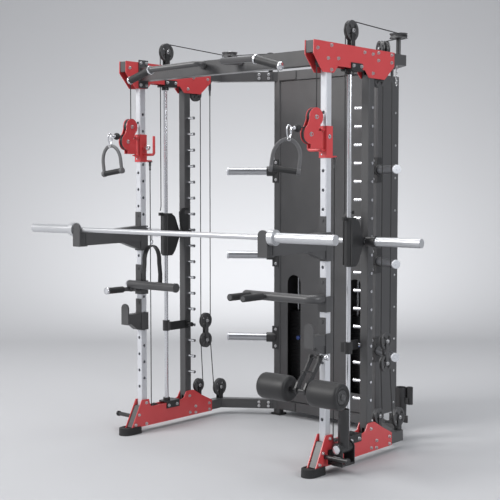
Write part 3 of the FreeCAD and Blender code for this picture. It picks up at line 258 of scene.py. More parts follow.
# ---------------------------------------------------------------- mesh helpers
# Places are gauge millimetres: X from the middle, Y back from the front uprights, Z from the floor.
SIDE_X = 699.0                 # middle of the side frames
SIDES = (("right", 1), ("left", -1))
WELD = 1e-6                    # vertices nearer than this (m) are one
EDGE_X, EDGE_Y = 0.566, 0.825  # unit vector square to the slanted rear beams
BALANCE_WHEEL = (218, 2322)    # (Y, Z) of the cable wheels in the side frames' planes
ROOF_WHEEL = (474, 2086)
RISE_WHEEL = (-54, 2136)
DROP_WHEEL = (100, 131)
BASE_WHEEL = (495, 215)
STACK_WHEEL = (696, 175)
HEAD_WHEELS = ((-90, 1853), (-128, 1764))
BLOCK_Y = 563                  # floating block
BLOCK_UPPER_Z, BLOCK_LOWER_Z = 629, 503
CORNER_WHEEL = (650, 745, 2353)    # flat wheel over the rear corner
POST_WHEEL = (436, 905, 2312)  # middle of the two wheels on the slanted beam
STACK_X, STACK_Y = 240, 1050   # middle of a weight stack


def mirrored(side, point):
    """A right-hand point, or its mirror image for the left."""
    point = Vector(point)
    return Vector((side * point.x, point.y, point.z))


def finish_piece(name, bm, slot, body, sharp=38):
    """Turn a bmesh into a piece with a finish, riding on a body when one is given."""
    bmesh.ops.remove_doubles(bm, verts=bm.verts, dist=WELD)
    bmesh.ops.recalc_face_normals(bm, faces=bm.faces)
    mesh = bpy.data.meshes.new(name)
    bm.to_mesh(mesh)
    bm.free()
    for face in mesh.polygons:
        face.use_smooth = True
    mesh.set_sharp_from_angle(angle=math.radians(sharp))
    mesh.materials.append(MATERIALS[slot])
    made = bpy.data.objects.new(name, mesh)
    scene.collection.objects.link(made)
    if body:
        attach(made, body)
    return made


def bridge(bm, rings, closed=False):
    """Faces between neighbouring rings; a ring of one vertex is a pole."""
    pairs = list(zip(rings, rings[1:]))
    if closed:
        pairs.append((rings[-1], rings[0]))
    steps = max(len(ring) for ring in rings)
    for low, high in pairs:
        for step in range(steps):
            after = (step + 1) % steps
            corners = []
            for ring, index in ((low, step), (low, after), (high, after), (high, step)):
                vert = ring[index % len(ring)]
                if vert not in corners:
                    corners.append(vert)
            if len(corners) > 2:
                bm.faces.new(corners)


def lathe(bm, profile, origin, axis, steps=36, closed=False):
    """Turn (radius, distance along the axis) pairs about an axis."""
    axis = Vector(axis).normalized()
    across = axis.orthogonal().normalized()
    up = axis.cross(across)
    origin = Vector(origin)
    rings = []
    for radius, along in profile:
        centre = origin + axis * along
        if radius < WELD:
            rings.append([bm.verts.new(gauge(*centre))])
            continue
        ring = []
        for step in range(steps):
            angle = 2 * math.pi * (step + 0.5) / steps
            ring.append(bm.verts.new(gauge(*(centre + (across * math.cos(angle)
                                                       + up * math.sin(angle)) * radius))))
        rings.append(ring)
    bridge(bm, rings, closed)


def sweep(bm, points, section, up=None, closed=False):
    """Carry a section of (across, up) offsets along a line of points."""
    points = [Vector(point) for point in points]
    last = len(points) - 1
    rings = []
    lift = Vector(up) if up else None
    for index, point in enumerate(points):
        if closed:
            ahead = points[(index + 1) % len(points)] - points[index - 1]
        else:
            ahead = points[min(index + 1, last)] - points[max(index - 1, 0)]
        ahead.normalize()
        if lift is None:
            lift = ahead.orthogonal()
        lift = (lift - ahead * lift.dot(ahead)).normalized()
        across = ahead.cross(lift)
        rings.append([bm.verts.new(gauge(*(point + across * a + lift * b))) for a, b in section])
    bridge(bm, rings, closed)
    if not closed:
        bm.faces.new(rings[0])
        bm.faces.new(rings[-1])


def circle(radius, sides=12):
    angles = [2 * math.pi * k / sides for k in range(sides)]
    return [(radius * math.cos(angle), radius * math.sin(angle)) for angle in angles]


def rounded_bar(width, height, corner, steps=3):
    """Section of a bar with rounded corners."""
    outline = []
    for quarter, (sx, sy) in enumerate(((1, 1), (-1, 1), (-1, -1), (1, -1))):
        for step in range(steps + 1):
            angle = math.radians(90 * (quarter + step / steps))
            outline.append((sx * (width / 2 - corner) + corner * math.cos(angle),
                            sy * (height / 2 - corner) + corner * math.sin(angle)))
    return outline


def tube(bm, points, radius, sides=12, closed=False):
    sweep(bm, points, circle(radius, sides), None, closed)


def softened(points, bend, steps=7):
    """The path with every inner corner turned into a curve."""
    points = [Vector(point) for point in points]
    path = [points[0]]
    for before, corner, after in zip(points, points[1:], points[2:]):
        reach = min(bend, (before - corner).length / 2, (after - corner).length / 2)
        start = corner + (before - corner).normalized() * reach
        end = corner + (after - corner).normalized() * reach
        for step in range(steps + 1):
            t = step / steps
            path.append(start * (1 - t) ** 2 + corner * (2 * t * (1 - t)) + end * t * t)
    path.append(points[-1])
    return path


def divided(points, spacing=40.0):
    """The path cut into short, even steps."""
    points = [Vector(point) for point in points]
    path = [points[0]]
    for start, end in zip(points, points[1:]):
        count = max(1, int((end - start).length / spacing))
        path += [start.lerp(end, step / count) for step in range(1, count + 1)]
    return path


def arc_yz(x, centre, radius, first, last, steps=12):
    """Points on an arc in a plane of constant X, with angles in degrees from +Y."""
    path = []
    for step in range(steps + 1):
        angle = math.radians(first + (last - first) * step / steps)
        y = centre[0] + radius * math.cos(angle)
        path.append((x, y, centre[1] + radius * math.sin(angle)))
    return path


def merge(bm, part):
    """Add a finished part to a bmesh, and free it."""
    held = bpy.data.meshes.new("held")
    part.to_mesh(held)
    part.free()
    bm.from_mesh(held)
    bpy.data.meshes.remove(held)


def block(bm, low, high, bevel):
    """Box with rounded edges."""
    low, high = gauge(*low), gauge(*high)
    centre, size = (low + high) / 2, high - low
    part = bmesh.new()
    bmesh.ops.create_cube(part, size=1,
                          matrix=Matrix.Translation(centre) @ Matrix.Diagonal((*size, 1)))
    bmesh.ops.bevel(part, geom=part.edges[:], offset=bevel / 1000, segments=2, affect="EDGES",
                    profile=0.5)
    merge(bm, part)


def plate(bm, outline, thickness):
    """Flat plate through a ring of gauge points, thickened by a vector, with softened edges."""
    part = bmesh.new()
    thickness = Vector(thickness)
    low = [part.verts.new(gauge(*point)) for point in outline]
    high = [part.verts.new(gauge(*(Vector(point) + thickness))) for point in outline]
    part.faces.new(low)
    part.faces.new(high)
    bridge(part, [low, high])
    bmesh.ops.recalc_face_normals(part, faces=part.faces)
    rims = [edge for edge in part.edges if len(edge.link_faces) == 2
            and any(len(face.verts) > 4 for face in edge.link_faces)]
    bmesh.ops.bevel(part, geom=rims, offset=0.0008, segments=2, affect="EDGES", profile=0.5)
    merge(bm, part)


def socket_head(bm, origin, axis, radius=8.0, height=7.0, steps=24):
    """Round bolt head with a sunk socket, on a washer."""
    top = height + 2
    lathe(bm, [(0, 0), (radius + 2.4, 0), (radius + 2.4, 1.2), (radius + 1.8, 1.8), (radius, 1.8),
               (radius, top - 1.4), (radius - 1.4, top), (radius * 0.58, top),
               (radius * 0.54, top - 5), (0, top - 5.4)], origin, axis, steps)


# ---------------------------------------------------------------- foam rollers
ROLLER_START = 70              # from the side frame's middle to a roller's inner end


def add_rollers():
    """Foam rollers with rounded rims, each with a plastic end cap on the axle."""
    for name, way in (("foam_roller_inner", -1), ("foam_roller_outer", 1)):
        low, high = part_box(name)
        centre = (low + high) / 2
        y, z = centre.y * 1000 + DEPTH_SHIFT, centre.z * 1000
        start = SIDE_X + way * ROLLER_START
        pad = bmesh.new()
        lathe(pad, [(12.3, 6), (24, 2), (34, 0), (54, 0), (61, 2), (66, 7), (68.4, 14), (69, 40),
                    (69.2, 94), (69, 148), (68.4, 174), (66, 181), (61, 186), (54, 188),
                    (50, 187.5), (48, 186), (46, 184), (43, 183.5), (40, 184), (38, 182),
                    (37.5, 178.5), (12.3, 178.5)],
              (start, y, z), (way, 0, 0), 64, closed=True)
        pad = finish_piece(name + "_pad", pad, "foam", name, 50)
        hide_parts(name)
        cap = bmesh.new()
        lathe(cap, [(0, 179), (36.5, 179), (36.5, 184), (35, 185.5), (31, 186), (30, 184.5),
                    (27, 184.2), (26, 186), (22, 186.3), (21, 184.6), (18, 184.4), (17, 188),
                    (15, 193), (12, 195), (0, 195.6)], (start, y, z), (way, 0, 0), 48)
        finish_piece(name + "_cap", cap, "pulley_plastic", name, 40)


# ---------------------------------------------------------------- cables
CABLE_R = 3.0
BALANCE_CABLE_R = 51.5         # from a wheel's centre to the cable's middle
CORNER_CABLE_R = 49
POST_CABLE_R = 46.5
RISE_CABLE_R = 26
ROOF_CABLE_R = 45
BLOCK_CABLE_R = 44.5
DROP_CABLE_R = 25.5
BASE_CABLE_R = 41.5
STACK_CABLE_R = 55
CORNER_SWEEP = 55.5            # degrees of the corner wheel that the cable covers


def add_cable(name, points, bodies=None):
    """A taut cable on the frame; with ends given, it rides on no body and is baked where it lies.
    """
    bm = bmesh.new()
    tube(bm, divided(points, 30), CABLE_R, 10)
    if bodies is None:
        return finish_piece(name, bm, "cable_sheath", "root", 60)
    made = finish_piece(name, bm, "cable_sheath", None, 60)
    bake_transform(made)
    return made


def add_cables():
    """Every cable run; a run that ends on a moving body rides on no body and is baked where it
    lies.
    """
    first = None
    for word, side in SIDES:
        x = side * SIDE_X

        def at(points):
            return [(x, y, z) for y, z in points]

        balance_y, balance_z = BALANCE_WHEEL
        bar_y = balance_y - BALANCE_CABLE_R
        rise = add_cable("cable_guided_bar_" + word,
                         at([(160, 1348), (bar_y, 1376), (bar_y, balance_z)]),
                         ("root", "smith_carriage"))
        first = first or rise
        corner_x, corner_y, corner_z = CORNER_WHEEL
        corner = []
        for step in range(9):
            angle = math.radians(side * CORNER_SWEEP * step / 8 + (0 if side > 0 else 180))
            corner.append((side * corner_x + CORNER_CABLE_R * math.cos(angle),
                           corner_y + CORNER_CABLE_R * math.sin(angle), corner_z))
        over = []
        for step in range(9):
            angle = math.radians(90 * step / 8)
            reach = POST_CABLE_R * math.sin(angle)
            over.append((side * (445.6 - EDGE_Y * reach), 919 + EDGE_X * reach,
                         POST_WHEEL[2] + POST_CABLE_R * math.cos(angle)))
        path = arc_yz(x, BALANCE_WHEEL, BALANCE_CABLE_R, 180, 90) + corner + over
        path.append((over[-1][0], over[-1][1], 2238))
        add_cable("cable_over_roof_" + word, path)
        carriage = "carriage_" + word
        block_body = "floating_block_" + word
        rise_y, rise_z = RISE_WHEEL[0] - RISE_CABLE_R, RISE_WHEEL[1]
        add_cable("cable_head_rise_" + word, at([(rise_y, 1900), (rise_y, rise_z)]),
                  ("root", carriage))
        roof_y, roof_z = ROOF_WHEEL
        roof = arc_yz(x, RISE_WHEEL, RISE_CABLE_R, 180, 90, 8)
        roof += [(x - side * 9, 165, 2142), (x, roof_y, roof_z + ROOF_CABLE_R)]
        roof += arc_yz(x, ROOF_WHEEL, ROOF_CABLE_R, 90, 0, 8)
        add_cable("cable_roof_" + word, roof)
        block_near = BLOCK_Y - BLOCK_CABLE_R
        loop = at([(roof_y + ROOF_CABLE_R, roof_z), (block_near, BLOCK_UPPER_Z)])
        loop += arc_yz(x, (BLOCK_Y, BLOCK_UPPER_Z), BLOCK_CABLE_R, 180, 360)[1:]
        add_cable("cable_block_upper_" + word, loop + at([(608, 2130)]),
                  ("root", block_body))
        add_cable("cable_carriage_drop_" + word, at([(75, 131), (75, 1634)]),
                  ("root", carriage))
        base = arc_yz(x, DROP_WHEEL, DROP_CABLE_R, 180, 270, 8)
        base += arc_yz(x, BASE_WHEEL, BASE_CABLE_R, 278, 360, 8)
        add_cable("cable_base_" + word, base)
        loop = arc_yz(x, (BLOCK_Y, BLOCK_LOWER_Z), BLOCK_CABLE_R, 180, 0)
        loop = at([(537, 215)]) + loop + at([(640, 175)])
        add_cable("cable_block_lower_" + word, loop,
                  ("root", block_body))
        add_cable("cable_to_stack_" + word, arc_yz(x, STACK_WHEEL, STACK_CABLE_R, 180, 262, 8))
        grip_line = arc_yz(SIDE_X, HEAD_WHEELS[1], 43, 62, 98, 6) + [(SIDE_X, -196, 1793)]
        grip_line = [mirrored(side, turned(point)) for point in grip_line]
        add_cable("cable_grip_" + word, grip_line,
                  ("pulley_head_" + word, "pull_handle_" + word))
        add_cable("cable_stack_" + word,
                  [(side * STACK_X, STACK_Y, 730), (side * STACK_X, STACK_Y, 2165)],
                  ("root", "stack_head_" + word))
    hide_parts("cables")


# ---------------------------------------------------------------- pull handles
SWIVEL_Y = -46.0               # the pulley heads turn about this upright line
HEAD_TURN = 7.0                # degrees that a head is turned at rest
HANDLE_TURN = {1: 41.0, -1: -5.0}  # degrees that each handle is turned on its hook, by side
HANDLE_LEAN = 8.0              # degrees off upright
BALL_Y, BALL_Z = -212, 1792    # ball stop's centre
BALL_R = 21
HOOK_Y = -270                  # middle of the snap hook
EYE_Z = 1736                   # the handle hangs from here


def turned(point):
    """A point of the pulley head after its rest turn about the swivel."""
    offset = Vector(point) - Vector((SIDE_X, SWIVEL_Y, 0))
    offset.rotate(Matrix.Rotation(math.radians(-HEAD_TURN), 3, "Z"))
    return offset + Vector((SIDE_X, SWIVEL_Y, 0))


def add_handles():
    """Ball stop, snap hook, arched hoop, ribbed grip and eyelet of each pull handle."""
    for word, side in SIDES:
        body = "pull_handle_" + word

        def hung(points):
            return [mirrored(side, turned(point)) for point in points]

        axis = hung([(SIDE_X, -300, 0)])[0] - hung([(SIDE_X, 0, 0)])[0]
        stop = bmesh.new()
        profile = []
        for step in range(17):
            angle = math.pi * step / 16
            radius = BALL_R * math.sin(angle)
            if step in (7, 9):
                radius -= 0.3          # a faint seam at the middle
            profile.append((radius if 0 < step < 16 else 0, -20.5 * math.cos(angle)))
        ball = hung([(SIDE_X, BALL_Y, BALL_Z)])[0]
        lathe(stop, profile, ball, axis, 36)
        finish_piece("ball_stop_" + word, stop, "rubber", body, 60)
        metal = bmesh.new()
        lathe(metal, [(0, 17), (9, 17), (9, 24), (8, 26), (5.6, 27), (5.6, 45), (4.5, 46.5),
                      (0, 46.5)], ball, axis, 24)
        outline = ((13, 1801), (-4, 1808), (-17, 1794), (-13, 1760), (-6, 1738), (6, 1738),
                   (13, 1760))
        loop = [(SIDE_X, HOOK_Y + back, z) for back, z in outline]
        ring = softened(loop + [loop[0], loop[1]], 9, 4)[1:-2]
        tube(metal, hung(ring), 3.9, 12, closed=True)
        gate = hung([(SIDE_X, HOOK_Y + 13.4, 1764), (SIDE_X, HOOK_Y + 13.4, 1796)])
        lathe(metal, [(0, 0), (4.8, 0), (5.6, 1), (5.6, 31), (4.8, 32), (0, 32)], gate[0],
              gate[1] - gate[0], 20)
        finish_piece("snap_hook_" + word, metal, "chrome", body, 50)

        centre = turned((SIDE_X, HOOK_Y, 0))
        turn = Matrix.Rotation(math.radians(HANDLE_TURN[side]), 3, "Z")
        lean = Matrix.Rotation(math.radians(HANDLE_LEAN), 3, "Y")
        eye = Vector((0, 0, EYE_Z))

        def on_handle(across, depth, height):
            point = lean @ (Vector((across, depth, height)) - eye) + eye
            point = turn @ point
            return mirrored(side, Vector((centre.x, centre.y, 0)) + point)

        half, shoulder, crown, foot = 70, 1642, 92, 1580
        arch = [(-half, foot), (-half, foot + 30)]
        for step in range(25):
            angle = math.radians(180 - 180 * step / 24)
            arch.append((half * math.cos(angle), shoulder + crown * math.sin(angle)))
        arch += [(half, foot + 30), (half, foot)]
        hoop = bmesh.new()
        outward = on_handle(0, 10, 1700) - on_handle(0, 0, 1700)
        sweep(hoop, [on_handle(a, 0, b) for a, b in arch], rounded_bar(19, 14, 5), outward)
        for end in (-half, half):
            start = on_handle(end, 0, foot)
            lathe(hoop, [(0, -10), (15, -10), (18, -8), (18, 8), (15, 10), (0, 10)],
                  start, on_handle(end + 10, 0, foot) - start, 28)
        finish_piece("handle_hoop_" + word, hoop, "handle_plastic", body, 45)
        grip = bmesh.new()
        ribs = [(0, -66), (15, -66)]
        for step in range(22):
            z = -63 + 6 * step
            ribs += [(15.5, z - 1.6), (15.9, z), (15.5, z + 1.6), (14.4, z + 3)]
        ribs += [(15, 66), (0, 66)]
        middle = on_handle(0, 0, foot)
        lathe(grip, ribs, middle, on_handle(10, 0, foot) - middle, 36)
        grip = finish_piece("handle_grip_" + word, grip, "grip_rubber", body, 30)
        eyelet = bmesh.new()
        lathe(eyelet, [(5, -9), (9, -9), (10.5, -7.5), (10.5, 7.5), (9, 9), (5, 9)],
              on_handle(0, 0, 1735), outward, 28, closed=True)
        finish_piece("handle_eyelet_" + word, eyelet, "zinc", body, 40)
        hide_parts("pull_handle_" + word)


# ---------------------------------------------------------------- caps, bolts and fittings
HORN_HEIGHTS = (510, 1051, 1597)
HORN_FOOT = (379, 924)         # (X, Y) of a storage horn's root, and its direction
HORN_RUN = (0.8202, -0.5721)
WING_FOOT = (389, -203, 2161)  # inner end of a pull-up wing's outer grip, and its direction
WING_RUN = (170, -3, -49)
PLUNGER_BALL_R = 17
KNOB_R = 16.4
LINK_PITCH = 12.5              # lock chain


def along_horn(side, distance, z):
    """A point on a storage horn's axis, from its bracket outwards."""
    x, y = HORN_FOOT[0] + HORN_RUN[0] * distance, HORN_FOOT[1] + HORN_RUN[1] * distance
    return Vector((side * x, y, z))


def add_horn_parts():
    """End discs of the storage horns, and the bolts of their brackets."""
    discs, bolts = bmesh.new(), bmesh.new()
    for _, side in SIDES:
        for z in HORN_HEIGHTS:
            start = along_horn(side, 0, z)
            axis = along_horn(side, 10, z) - start
            lathe(discs, [(0, 329), (25.4, 329), (26, 330), (26, 339), (24.5, 341), (15, 341.2),
                          (14, 340), (7, 340), (6, 342), (0, 342.4)], start, axis, 40)
            for lift in (-55, 55):
                socket_head(bolts, (side * 381, 893, z + lift), (0, -1, 0), 7.5, 6)
    finish_piece("horn_end_discs", discs, "silver_coat", "root")
    finish_piece("horn_bolts", bolts, "zinc", "root")


def wing_point(side, distance):
    """A point on a pull-up wing's outer grip, from its inner end."""
    return mirrored(side, Vector(WING_FOOT) + Vector(WING_RUN).normalized() * distance)


def add_caps():
    """Chrome rings and caps of the wing grips, dip handle and landmine axle."""
    chrome = bmesh.new()
    for _, side in SIDES:
        start = wing_point(side, 0)
        axis = wing_point(side, 10) - start
        lathe(chrome, [(17.2, 3), (24.6, 3), (25.4, 4), (25.4, 13.4), (24.6, 14.4), (17.2, 14.4)],
              start, axis, 36, closed=True)
        lathe(chrome, [(0, 175.4), (21.8, 175.4), (22.4, 176.2), (22.4, 185), (21.4, 188),
                       (18, 190.8), (0, 191.4)], start, axis, 36)
    dome_r = 24.9
    dome = [(0, -1), (dome_r, -1)]
    for step in range(9):
        angle = math.radians(90 * step / 8)
        dome.append((dome_r * math.cos(angle) if step < 8 else 0, dome_r * math.sin(angle)))
    lathe(chrome, dome, (-738, -62, 908), (-1, 0, 0), 36)
    lathe(chrome, [(0, -1), (20, -1), (20.6, 0), (20.6, 10), (19, 13.6), (15, 15), (0, 15.4)],
          (-740, -236, 878), (0, -1, 0), 32)
    lathe(chrome, [(0, 0.2), (22.6, 0.2), (23, 1), (23, 8), (21.4, 10), (12, 10.8), (0, 10.8)],
          (790, -12, 132), (0, -1, 0), 36)
    finish_piece("chrome_caps", chrome, "chrome", "root")


def add_pulley_bolts():
    """Axle bolts of the cable wheels, on the body that carries each wheel."""
    for word, side in SIDES:
        bolts = bmesh.new()
        for y, z in (BALANCE_WHEEL, BASE_WHEEL, STACK_WHEEL):
            for way in (-1, 1):
                socket_head(bolts, (side * SIDE_X + way * 15, y, z), (way, 0, 0), 9, 5)
        x, y, z = CORNER_WHEEL
        socket_head(bolts, (side * x, y, z + 14.4), (0, 0, 1), 11, 4)
        x, y, z = POST_WHEEL
        for way in (-1, 1):
            point = (side * (x + way * EDGE_X * 27.6), y + way * EDGE_Y * 27.6, z)
            socket_head(bolts, point, (side * way * EDGE_X, way * EDGE_Y, 0), 9.5, 4)
        finish_piece("pulley_bolts_" + word, bolts, "zinc", "root")
        bolts = bmesh.new()
        for z in (BLOCK_UPPER_Z, BLOCK_LOWER_Z):
            for way in (-1, 1):
                socket_head(bolts, (side * SIDE_X + way * 15, BLOCK_Y, z), (way, 0, 0), 9, 6)
        finish_piece("block_bolts_" + word, bolts, "zinc", "floating_block_" + word)
        bolts = bmesh.new()
        for y, z in HEAD_WHEELS:
            for way in (-1, 1):
                point = mirrored(side, turned((SIDE_X + way * 15, y, z)))
                ahead = mirrored(side, turned((SIDE_X + way * 25, y, z))) - point
                socket_head(bolts, point, ahead, 9.6, 6.4)
        finish_piece("head_bolts_" + word, bolts, "zinc", "pulley_head_" + word)


def add_carriage_parts():
    """Screws, cable fitting and plunger ball of each sliding carriage."""
    for word, side in SIDES:
        body = "carriage_" + word
        bright, dark = bmesh.new(), bmesh.new()
        face = side * (SIDE_X + 24.4)
        lathe(bright, [(5, -0.4), (12, -0.4), (12, 1.6), (10.5, 3.4), (7, 3.4), (5, 1.2)],
              (face, -1, 1756), (side, 0, 0), 32, closed=True)
        lathe(dark, [(0, -0.4), (5.2, -0.4), (5.2, 0.9), (0, 0.9)], (face, -1, 1756),
              (side, 0, 0), 24)
        for z in (1664, 1792):
            lathe(bright, [(0, -0.4), (5, -0.4), (5, 1.4), (4, 2.2), (2.4, 2.2), (2, 0.9),
                           (0, 0.9)], (side * SIDE_X - 6, -26.9, z), (0, -1, 0), 20)
        lathe(dark, [(0, 0), (15, 0), (15.6, 1), (15.6, 5), (14.6, 6), (8.4, 6.4), (7.6, 8),
                     (7.6, 26), (5.4, 29), (5.2, 44), (6.8, 45), (6.8, 52), (4.2, 55), (0, 55)],
              (side * SIDE_X, 75, 1651), (0, 0, -1), 28)
        finish_piece("carriage_screws_" + word, bright, "chrome", body)
        finish_piece("carriage_fitting_" + word, dark, "pulley_plastic", body)
        ball = bmesh.new()
        globe = [(0, -26), (6.2, -26), (6.2, -16)]
        for step in range(15):
            angle = math.radians(158 - 158 * step / 14)
            radius = PLUNGER_BALL_R * math.sin(angle) if step < 14 else 0
            globe.append((radius, PLUNGER_BALL_R * math.cos(angle)))
        lathe(ball, globe, (side * (SIDE_X - 60.4), 0, 1730), (-side, 0, 0), 32)
        finish_piece("plunger_ball_" + word, ball, "chrome", "plunger_" + word)


def add_fittings():
    """Cable sockets under the rear beam, the lock chain, and the leg arm's ball knob."""
    black, links = bmesh.new(), bmesh.new()
    for _, side in SIDES:
        lathe(black, [(0, -1), (13, -1), (13, 6), (10, 11), (8.6, 14), (8.6, 58), (7, 61),
                      (6.4, 63), (5.4, 92), (4.4, 95), (0, 95)],
              (side * SIDE_X, 608, 2176), (0, 0, -1), 28)
    finish_piece("cable_sockets", black, "pulley_plastic", "root")
    for count in range(9):
        z = 2168 - LINK_PITCH * count
        across, along = ((1, 0) if count % 2 else (0, 1))
        ring = []
        for step in range(20):
            angle = 2 * math.pi * step / 20
            reach = 5.2 * math.cos(angle)
            lift = 8.6 * math.sin(angle)
            ring.append((SIDE_X + 12 + across * reach, 634 + along * reach, z + lift))
        tube(links, ring, 1.7, 8, closed=True)
    finish_piece("lock_chain", links, "zinc", "root")
    knob = bmesh.new()
    globe = [(0, -17.5)]
    for step in range(1, 16):
        angle = math.radians(180 - 180 * step / 16)
        globe.append((KNOB_R * math.sin(angle), KNOB_R * math.cos(angle)))
    globe.append((0, 16.6))
    lathe(knob, globe, (SIDE_X + 70, -79, 622), (1, 0, 0), 32)
    finish_piece("leg_arm_knob", knob, "chrome", "root")


def add_spare_grip():
    """Spare arched handle that hangs on the left frame."""
    x, y = -655, 45
    strap, metal, grip = bmesh.new(), bmesh.new(), bmesh.new()
    hook = [(-681, 12, 1250), (-662, 14, 1250), (-656, 26, 1247), (x, 42, 1238), (x, 46, 1206),
            (x, 44, 1172), (x, 36, 1158), (x, 44, 1148), (x, 54, 1156), (x, 52, 1172)]
    tube(metal, softened(hook, 7, 4), 3.6, 12)
    arch = [(x, y - 68, 905), (x, y - 70, 960), (x, y - 62, 1030)]
    for step in range(1, 16):
        angle = math.radians(180 - 180 * step / 16)
        arch.append((x, y + 62 * math.cos(angle), 1048 + 92 * math.sin(angle)))
    arch += [(x, y + 62, 1030), (x, y + 70, 960), (x, y + 68, 905)]
    sweep(strap, arch, rounded_bar(8, 34, 3), (1, 0, 0))
    lathe(grip, [(0, -74), (12, -74), (15, -72), (15, 72), (12, 74), (0, 74)], (x, y, 900),
          (0, 1, 0), 32)
    finish_piece("spare_hook", metal, "chrome", "root")
    finish_piece("spare_strap", strap, "cable_sheath", "root", 50)
    finish_piece("spare_grip", grip, "grip_rubber", "root")


WIDEST_SIDE_BOLT = 10.5        # a head that is longer in X lies on the slanted beam


def add_frame_bolts():
    """Socket bolts in place of the plain bolt heads, one for each separate head in the node."""
    node = nodes["frame_bolts"]
    bm = bmesh.new()
    bm.from_mesh(node.data)
    bmesh.ops.remove_doubles(bm, verts=bm.verts, dist=WELD)
    seen, made = set(), bmesh.new()
    for seed in bm.verts:
        if seed in seen:
            continue
        group, waiting = [], [seed]
        seen.add(seed)
        while waiting:
            vert = waiting.pop()
            group.append(vert.co)
            for edge in vert.link_edges:
                other = edge.other_vert(vert)
                if other not in seen:
                    seen.add(other)
                    waiting.append(other)
        low = Vector([min(co[k] for co in group) for k in range(3)])
        high = Vector([max(co[k] for co in group) for k in range(3)])
        size, centre = (high - low) * 1000, (low + high) * 500
        sign = 1 if centre.x > 0 else -1
        way = sign if abs(centre.x) > SIDE_X else -sign
        axis = Vector((way, 0, 0))
        reach = size.x / 2
        if size.x > WIDEST_SIDE_BOLT:
            axis, reach = Vector((-sign * EDGE_X, -EDGE_Y, 0)), 3
        foot = centre + Vector((0, DEPTH_SHIFT, 0)) - axis * reach
        socket_head(made, foot, axis, 7.4, 7.6)
    bm.free()
    made = finish_piece("frame_bolt_heads", made, "zinc", "root")
    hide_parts("frame_bolts")


# ---------------------------------------------------------------- cable wheels and rear cover
SLOT_STEPS = range(6, 12)      # of the 18 steps in a quarter turn
CHEEK_R = 13                   # rounded ends of the floating block's cheeks


def spoked_wheel(bm, centre, axis, radius, width=20.0, slotted=True):
    """Grooved wheel with a hub; four long slots pierce its web."""
    axis = Vector(axis).normalized()
    across = axis.orthogonal().normalized()
    if abs(axis.x) > 0.9:
        across = Vector((0, 0, 1))
    up = axis.cross(across)
    centre = Vector(centre)
    half = width / 2
    groove = radius - 7
    rim = [(groove - 6, -half), (radius - 0.8, -half), (radius, -half + 0.8), (radius, -half + 2.6),
           (groove + 1, -3.4), (groove, -2.2), (groove, 2.2), (groove + 1, 3.4),
           (radius, half - 2.6), (radius, half - 0.8), (radius - 0.8, half), (groove - 6, half)]
    lathe(bm, rim, centre, axis, 64, closed=True)
    lathe(bm, [(8.2, -half), (14, -half), (15.5, -half + 1.5), (15.5, half - 1.5), (14, half),
               (8.2, half)], centre, axis, 32, closed=True)
    radii = [15.0, 17.5, groove - 9.5, groove - 5.5]
    count = 72
    thick = half - 2.5

    def pierced(step, band):
        return slotted and band == 1 and step % (count // 4) in SLOT_STEPS

    grid = {}
    for level in (-1, 1):
        for band, r in enumerate(radii):
            for step in range(count):
                angle = 2 * math.pi * step / count
                point = centre + axis * (level * thick)
                point += (across * math.cos(angle) + up * math.sin(angle)) * r
                grid[level, band, step] = bm.verts.new(gauge(*point))
    for step in range(count):
        after = (step + 1) % count
        for band in range(3):
            if pierced(step, band):
                for side in (step, after):
                    neighbour = (step - 1) % count if side == step else after
                    if not pierced(neighbour, band):
                        bm.faces.new([grid[-1, band, side], grid[-1, band + 1, side],
                                      grid[1, band + 1, side], grid[1, band, side]])
                for edge in (band, band + 1):
                    bm.faces.new([grid[-1, edge, step], grid[-1, edge, after],
                                  grid[1, edge, after], grid[1, edge, step]])
                continue
            for level in (-1, 1):
                bm.faces.new([grid[level, band, step], grid[level, band, after],
                              grid[level, band + 1, after], grid[level, band + 1, step]])
        for edge in (0, 3):
            bm.faces.new([grid[-1, edge, step], grid[-1, edge, after],
                          grid[1, edge, after], grid[1, edge, step]])


def add_cover_details():
    """Seams, edge strips and screws of the rear cover."""
    strips, screws = bmesh.new(), bmesh.new()
    rear = 1160                # back face of the cover
    seams = (760, 1450)
    for z in seams:
        block(strips, (-379, rear - 1, z - 14), (379, rear + 2.5, z + 14), 0.8)
    for x in (-374, 374):
        block(strips, (x - 8, rear - 1, 108), (x + 8, rear + 2.5, 2168), 0.8)
    for way in (-1, 1):
        for z in range(150, 2160, 200):
            socket_head(screws, (way * 350, rear, z), (0, 1, 0), 5, 3)
            socket_head(screws, (way * 382, 1130, z), (way, 0, 0), 5, 3)
        for z in seams:
            for x in (90, 230):
                socket_head(screws, (way * x, rear + 2, z), (0, 1, 0), 5, 3)
    for level in range(9):
        z = 1840 + level * 26
        block(strips, (-150, rear - 1, z), (150, rear + 3, z + 9), 1.2)
    finish_piece("cover_strips", strips, "charcoal_coat", "root")
    finish_piece("cover_screws", screws, "zinc", "root")


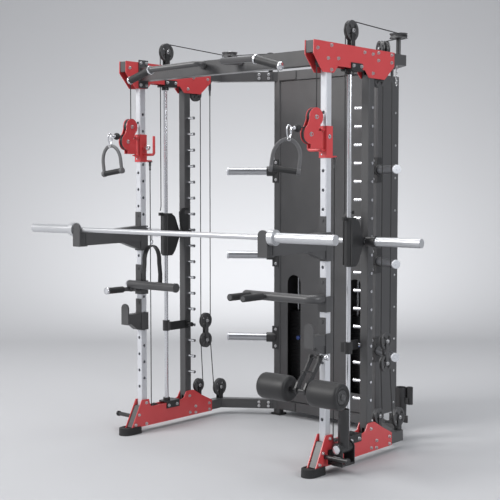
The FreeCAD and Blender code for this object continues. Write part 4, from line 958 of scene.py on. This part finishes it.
def add_wheels():
    """Detailed wheels in place of the plain ones, with the floating blocks' cheeks."""
    tops, fixed = bmesh.new(), bmesh.new()
    for word, side in SIDES:
        x = side * SIDE_X
        spoked_wheel(tops, (x, *BALANCE_WHEEL), (1, 0, 0), 55)
        for place, radius in ((ROOF_WHEEL, 48), (BASE_WHEEL, 43), (STACK_WHEEL, 56)):
            spoked_wheel(fixed, (x, *place), (1, 0, 0), radius)
        for place, radius in ((DROP_WHEEL, 28), (RISE_WHEEL, 29)):
            spoked_wheel(fixed, (x, *place), (1, 0, 0), radius, 18, False)
        corner_x, corner_y, corner_z = CORNER_WHEEL
        spoked_wheel(fixed, (side * corner_x, corner_y, corner_z), (0, 0, 1), 52, 28, False)
        post_x, post_y, post_z = POST_WHEEL
        for way in (-17, 17):
            spoked_wheel(fixed, (side * (post_x + way * EDGE_X), post_y + way * EDGE_Y, post_z),
                         (side * EDGE_X, EDGE_Y, 0), 50)
        hanging = bmesh.new()
        for z in (BLOCK_UPPER_Z, BLOCK_LOWER_Z):
            spoked_wheel(hanging, (x, BLOCK_Y, z), (1, 0, 0), 50)
        for way in (-1, 1):
            outline = []
            for z, first in ((BLOCK_UPPER_Z, 0), (BLOCK_LOWER_Z, 180)):
                outline += arc_yz(x + way * 11, (BLOCK_Y, z), CHEEK_R, first, first + 180)
            plate(hanging, outline, (way * 4, 0, 0))
        hanging = finish_piece("block_wheels_" + word, hanging, "pulley_plastic",
                               "floating_block_" + word)
        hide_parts("floating_block_" + word)
        head = bmesh.new()
        for y, z in HEAD_WHEELS:
            centre = mirrored(side, turned((SIDE_X, y, z)))
            ahead = mirrored(side, turned((SIDE_X + 10, y, z))) - centre
            spoked_wheel(head, centre, ahead, 46, 20, False)
        head = finish_piece("head_wheels_" + word, head, "pulley_plastic", "pulley_head_" + word)
        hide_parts("head_pulleys_" + word)
    tops = finish_piece("top_wheels", tops, "pulley_plastic", "counterbalance_pulleys")
    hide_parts("counterbalance_pulleys")
    fixed = finish_piece("cable_wheels", fixed, "pulley_plastic", "root")
    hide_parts("fixed_pulleys")


# ---------------------------------------------------------------- the scene
add_camera()
add_stage()
add_light("key", (-4.4, -7.4, 6.4), (0, 0, 1.2), 4.2, 720, (1, 0.99, 0.98))
add_light("fill", (6.0, -0.6, 3.6), (0, 0, 1.3), 2.6, 150, (0.96, 0.98, 1.0))
add_light("top", (-0.6, 0.6, 5.6), (0, 0, 0), 4.0, 190)
add_light("glow", (-3.4, 4.0, 3.6), (-7.0, 8.0, 1.6), 3.0, 200)
for name, node in nodes.items():
    dress(node, "horn_steel" if name == "storage_horns" else SLOT_OF[name])
add_rollers()
add_cables()
add_handles()
add_horn_parts()
add_caps()
add_pulley_bolts()
add_carriage_parts()
add_fittings()
add_spare_grip()
add_frame_bolts()
add_wheels()
add_cover_details()
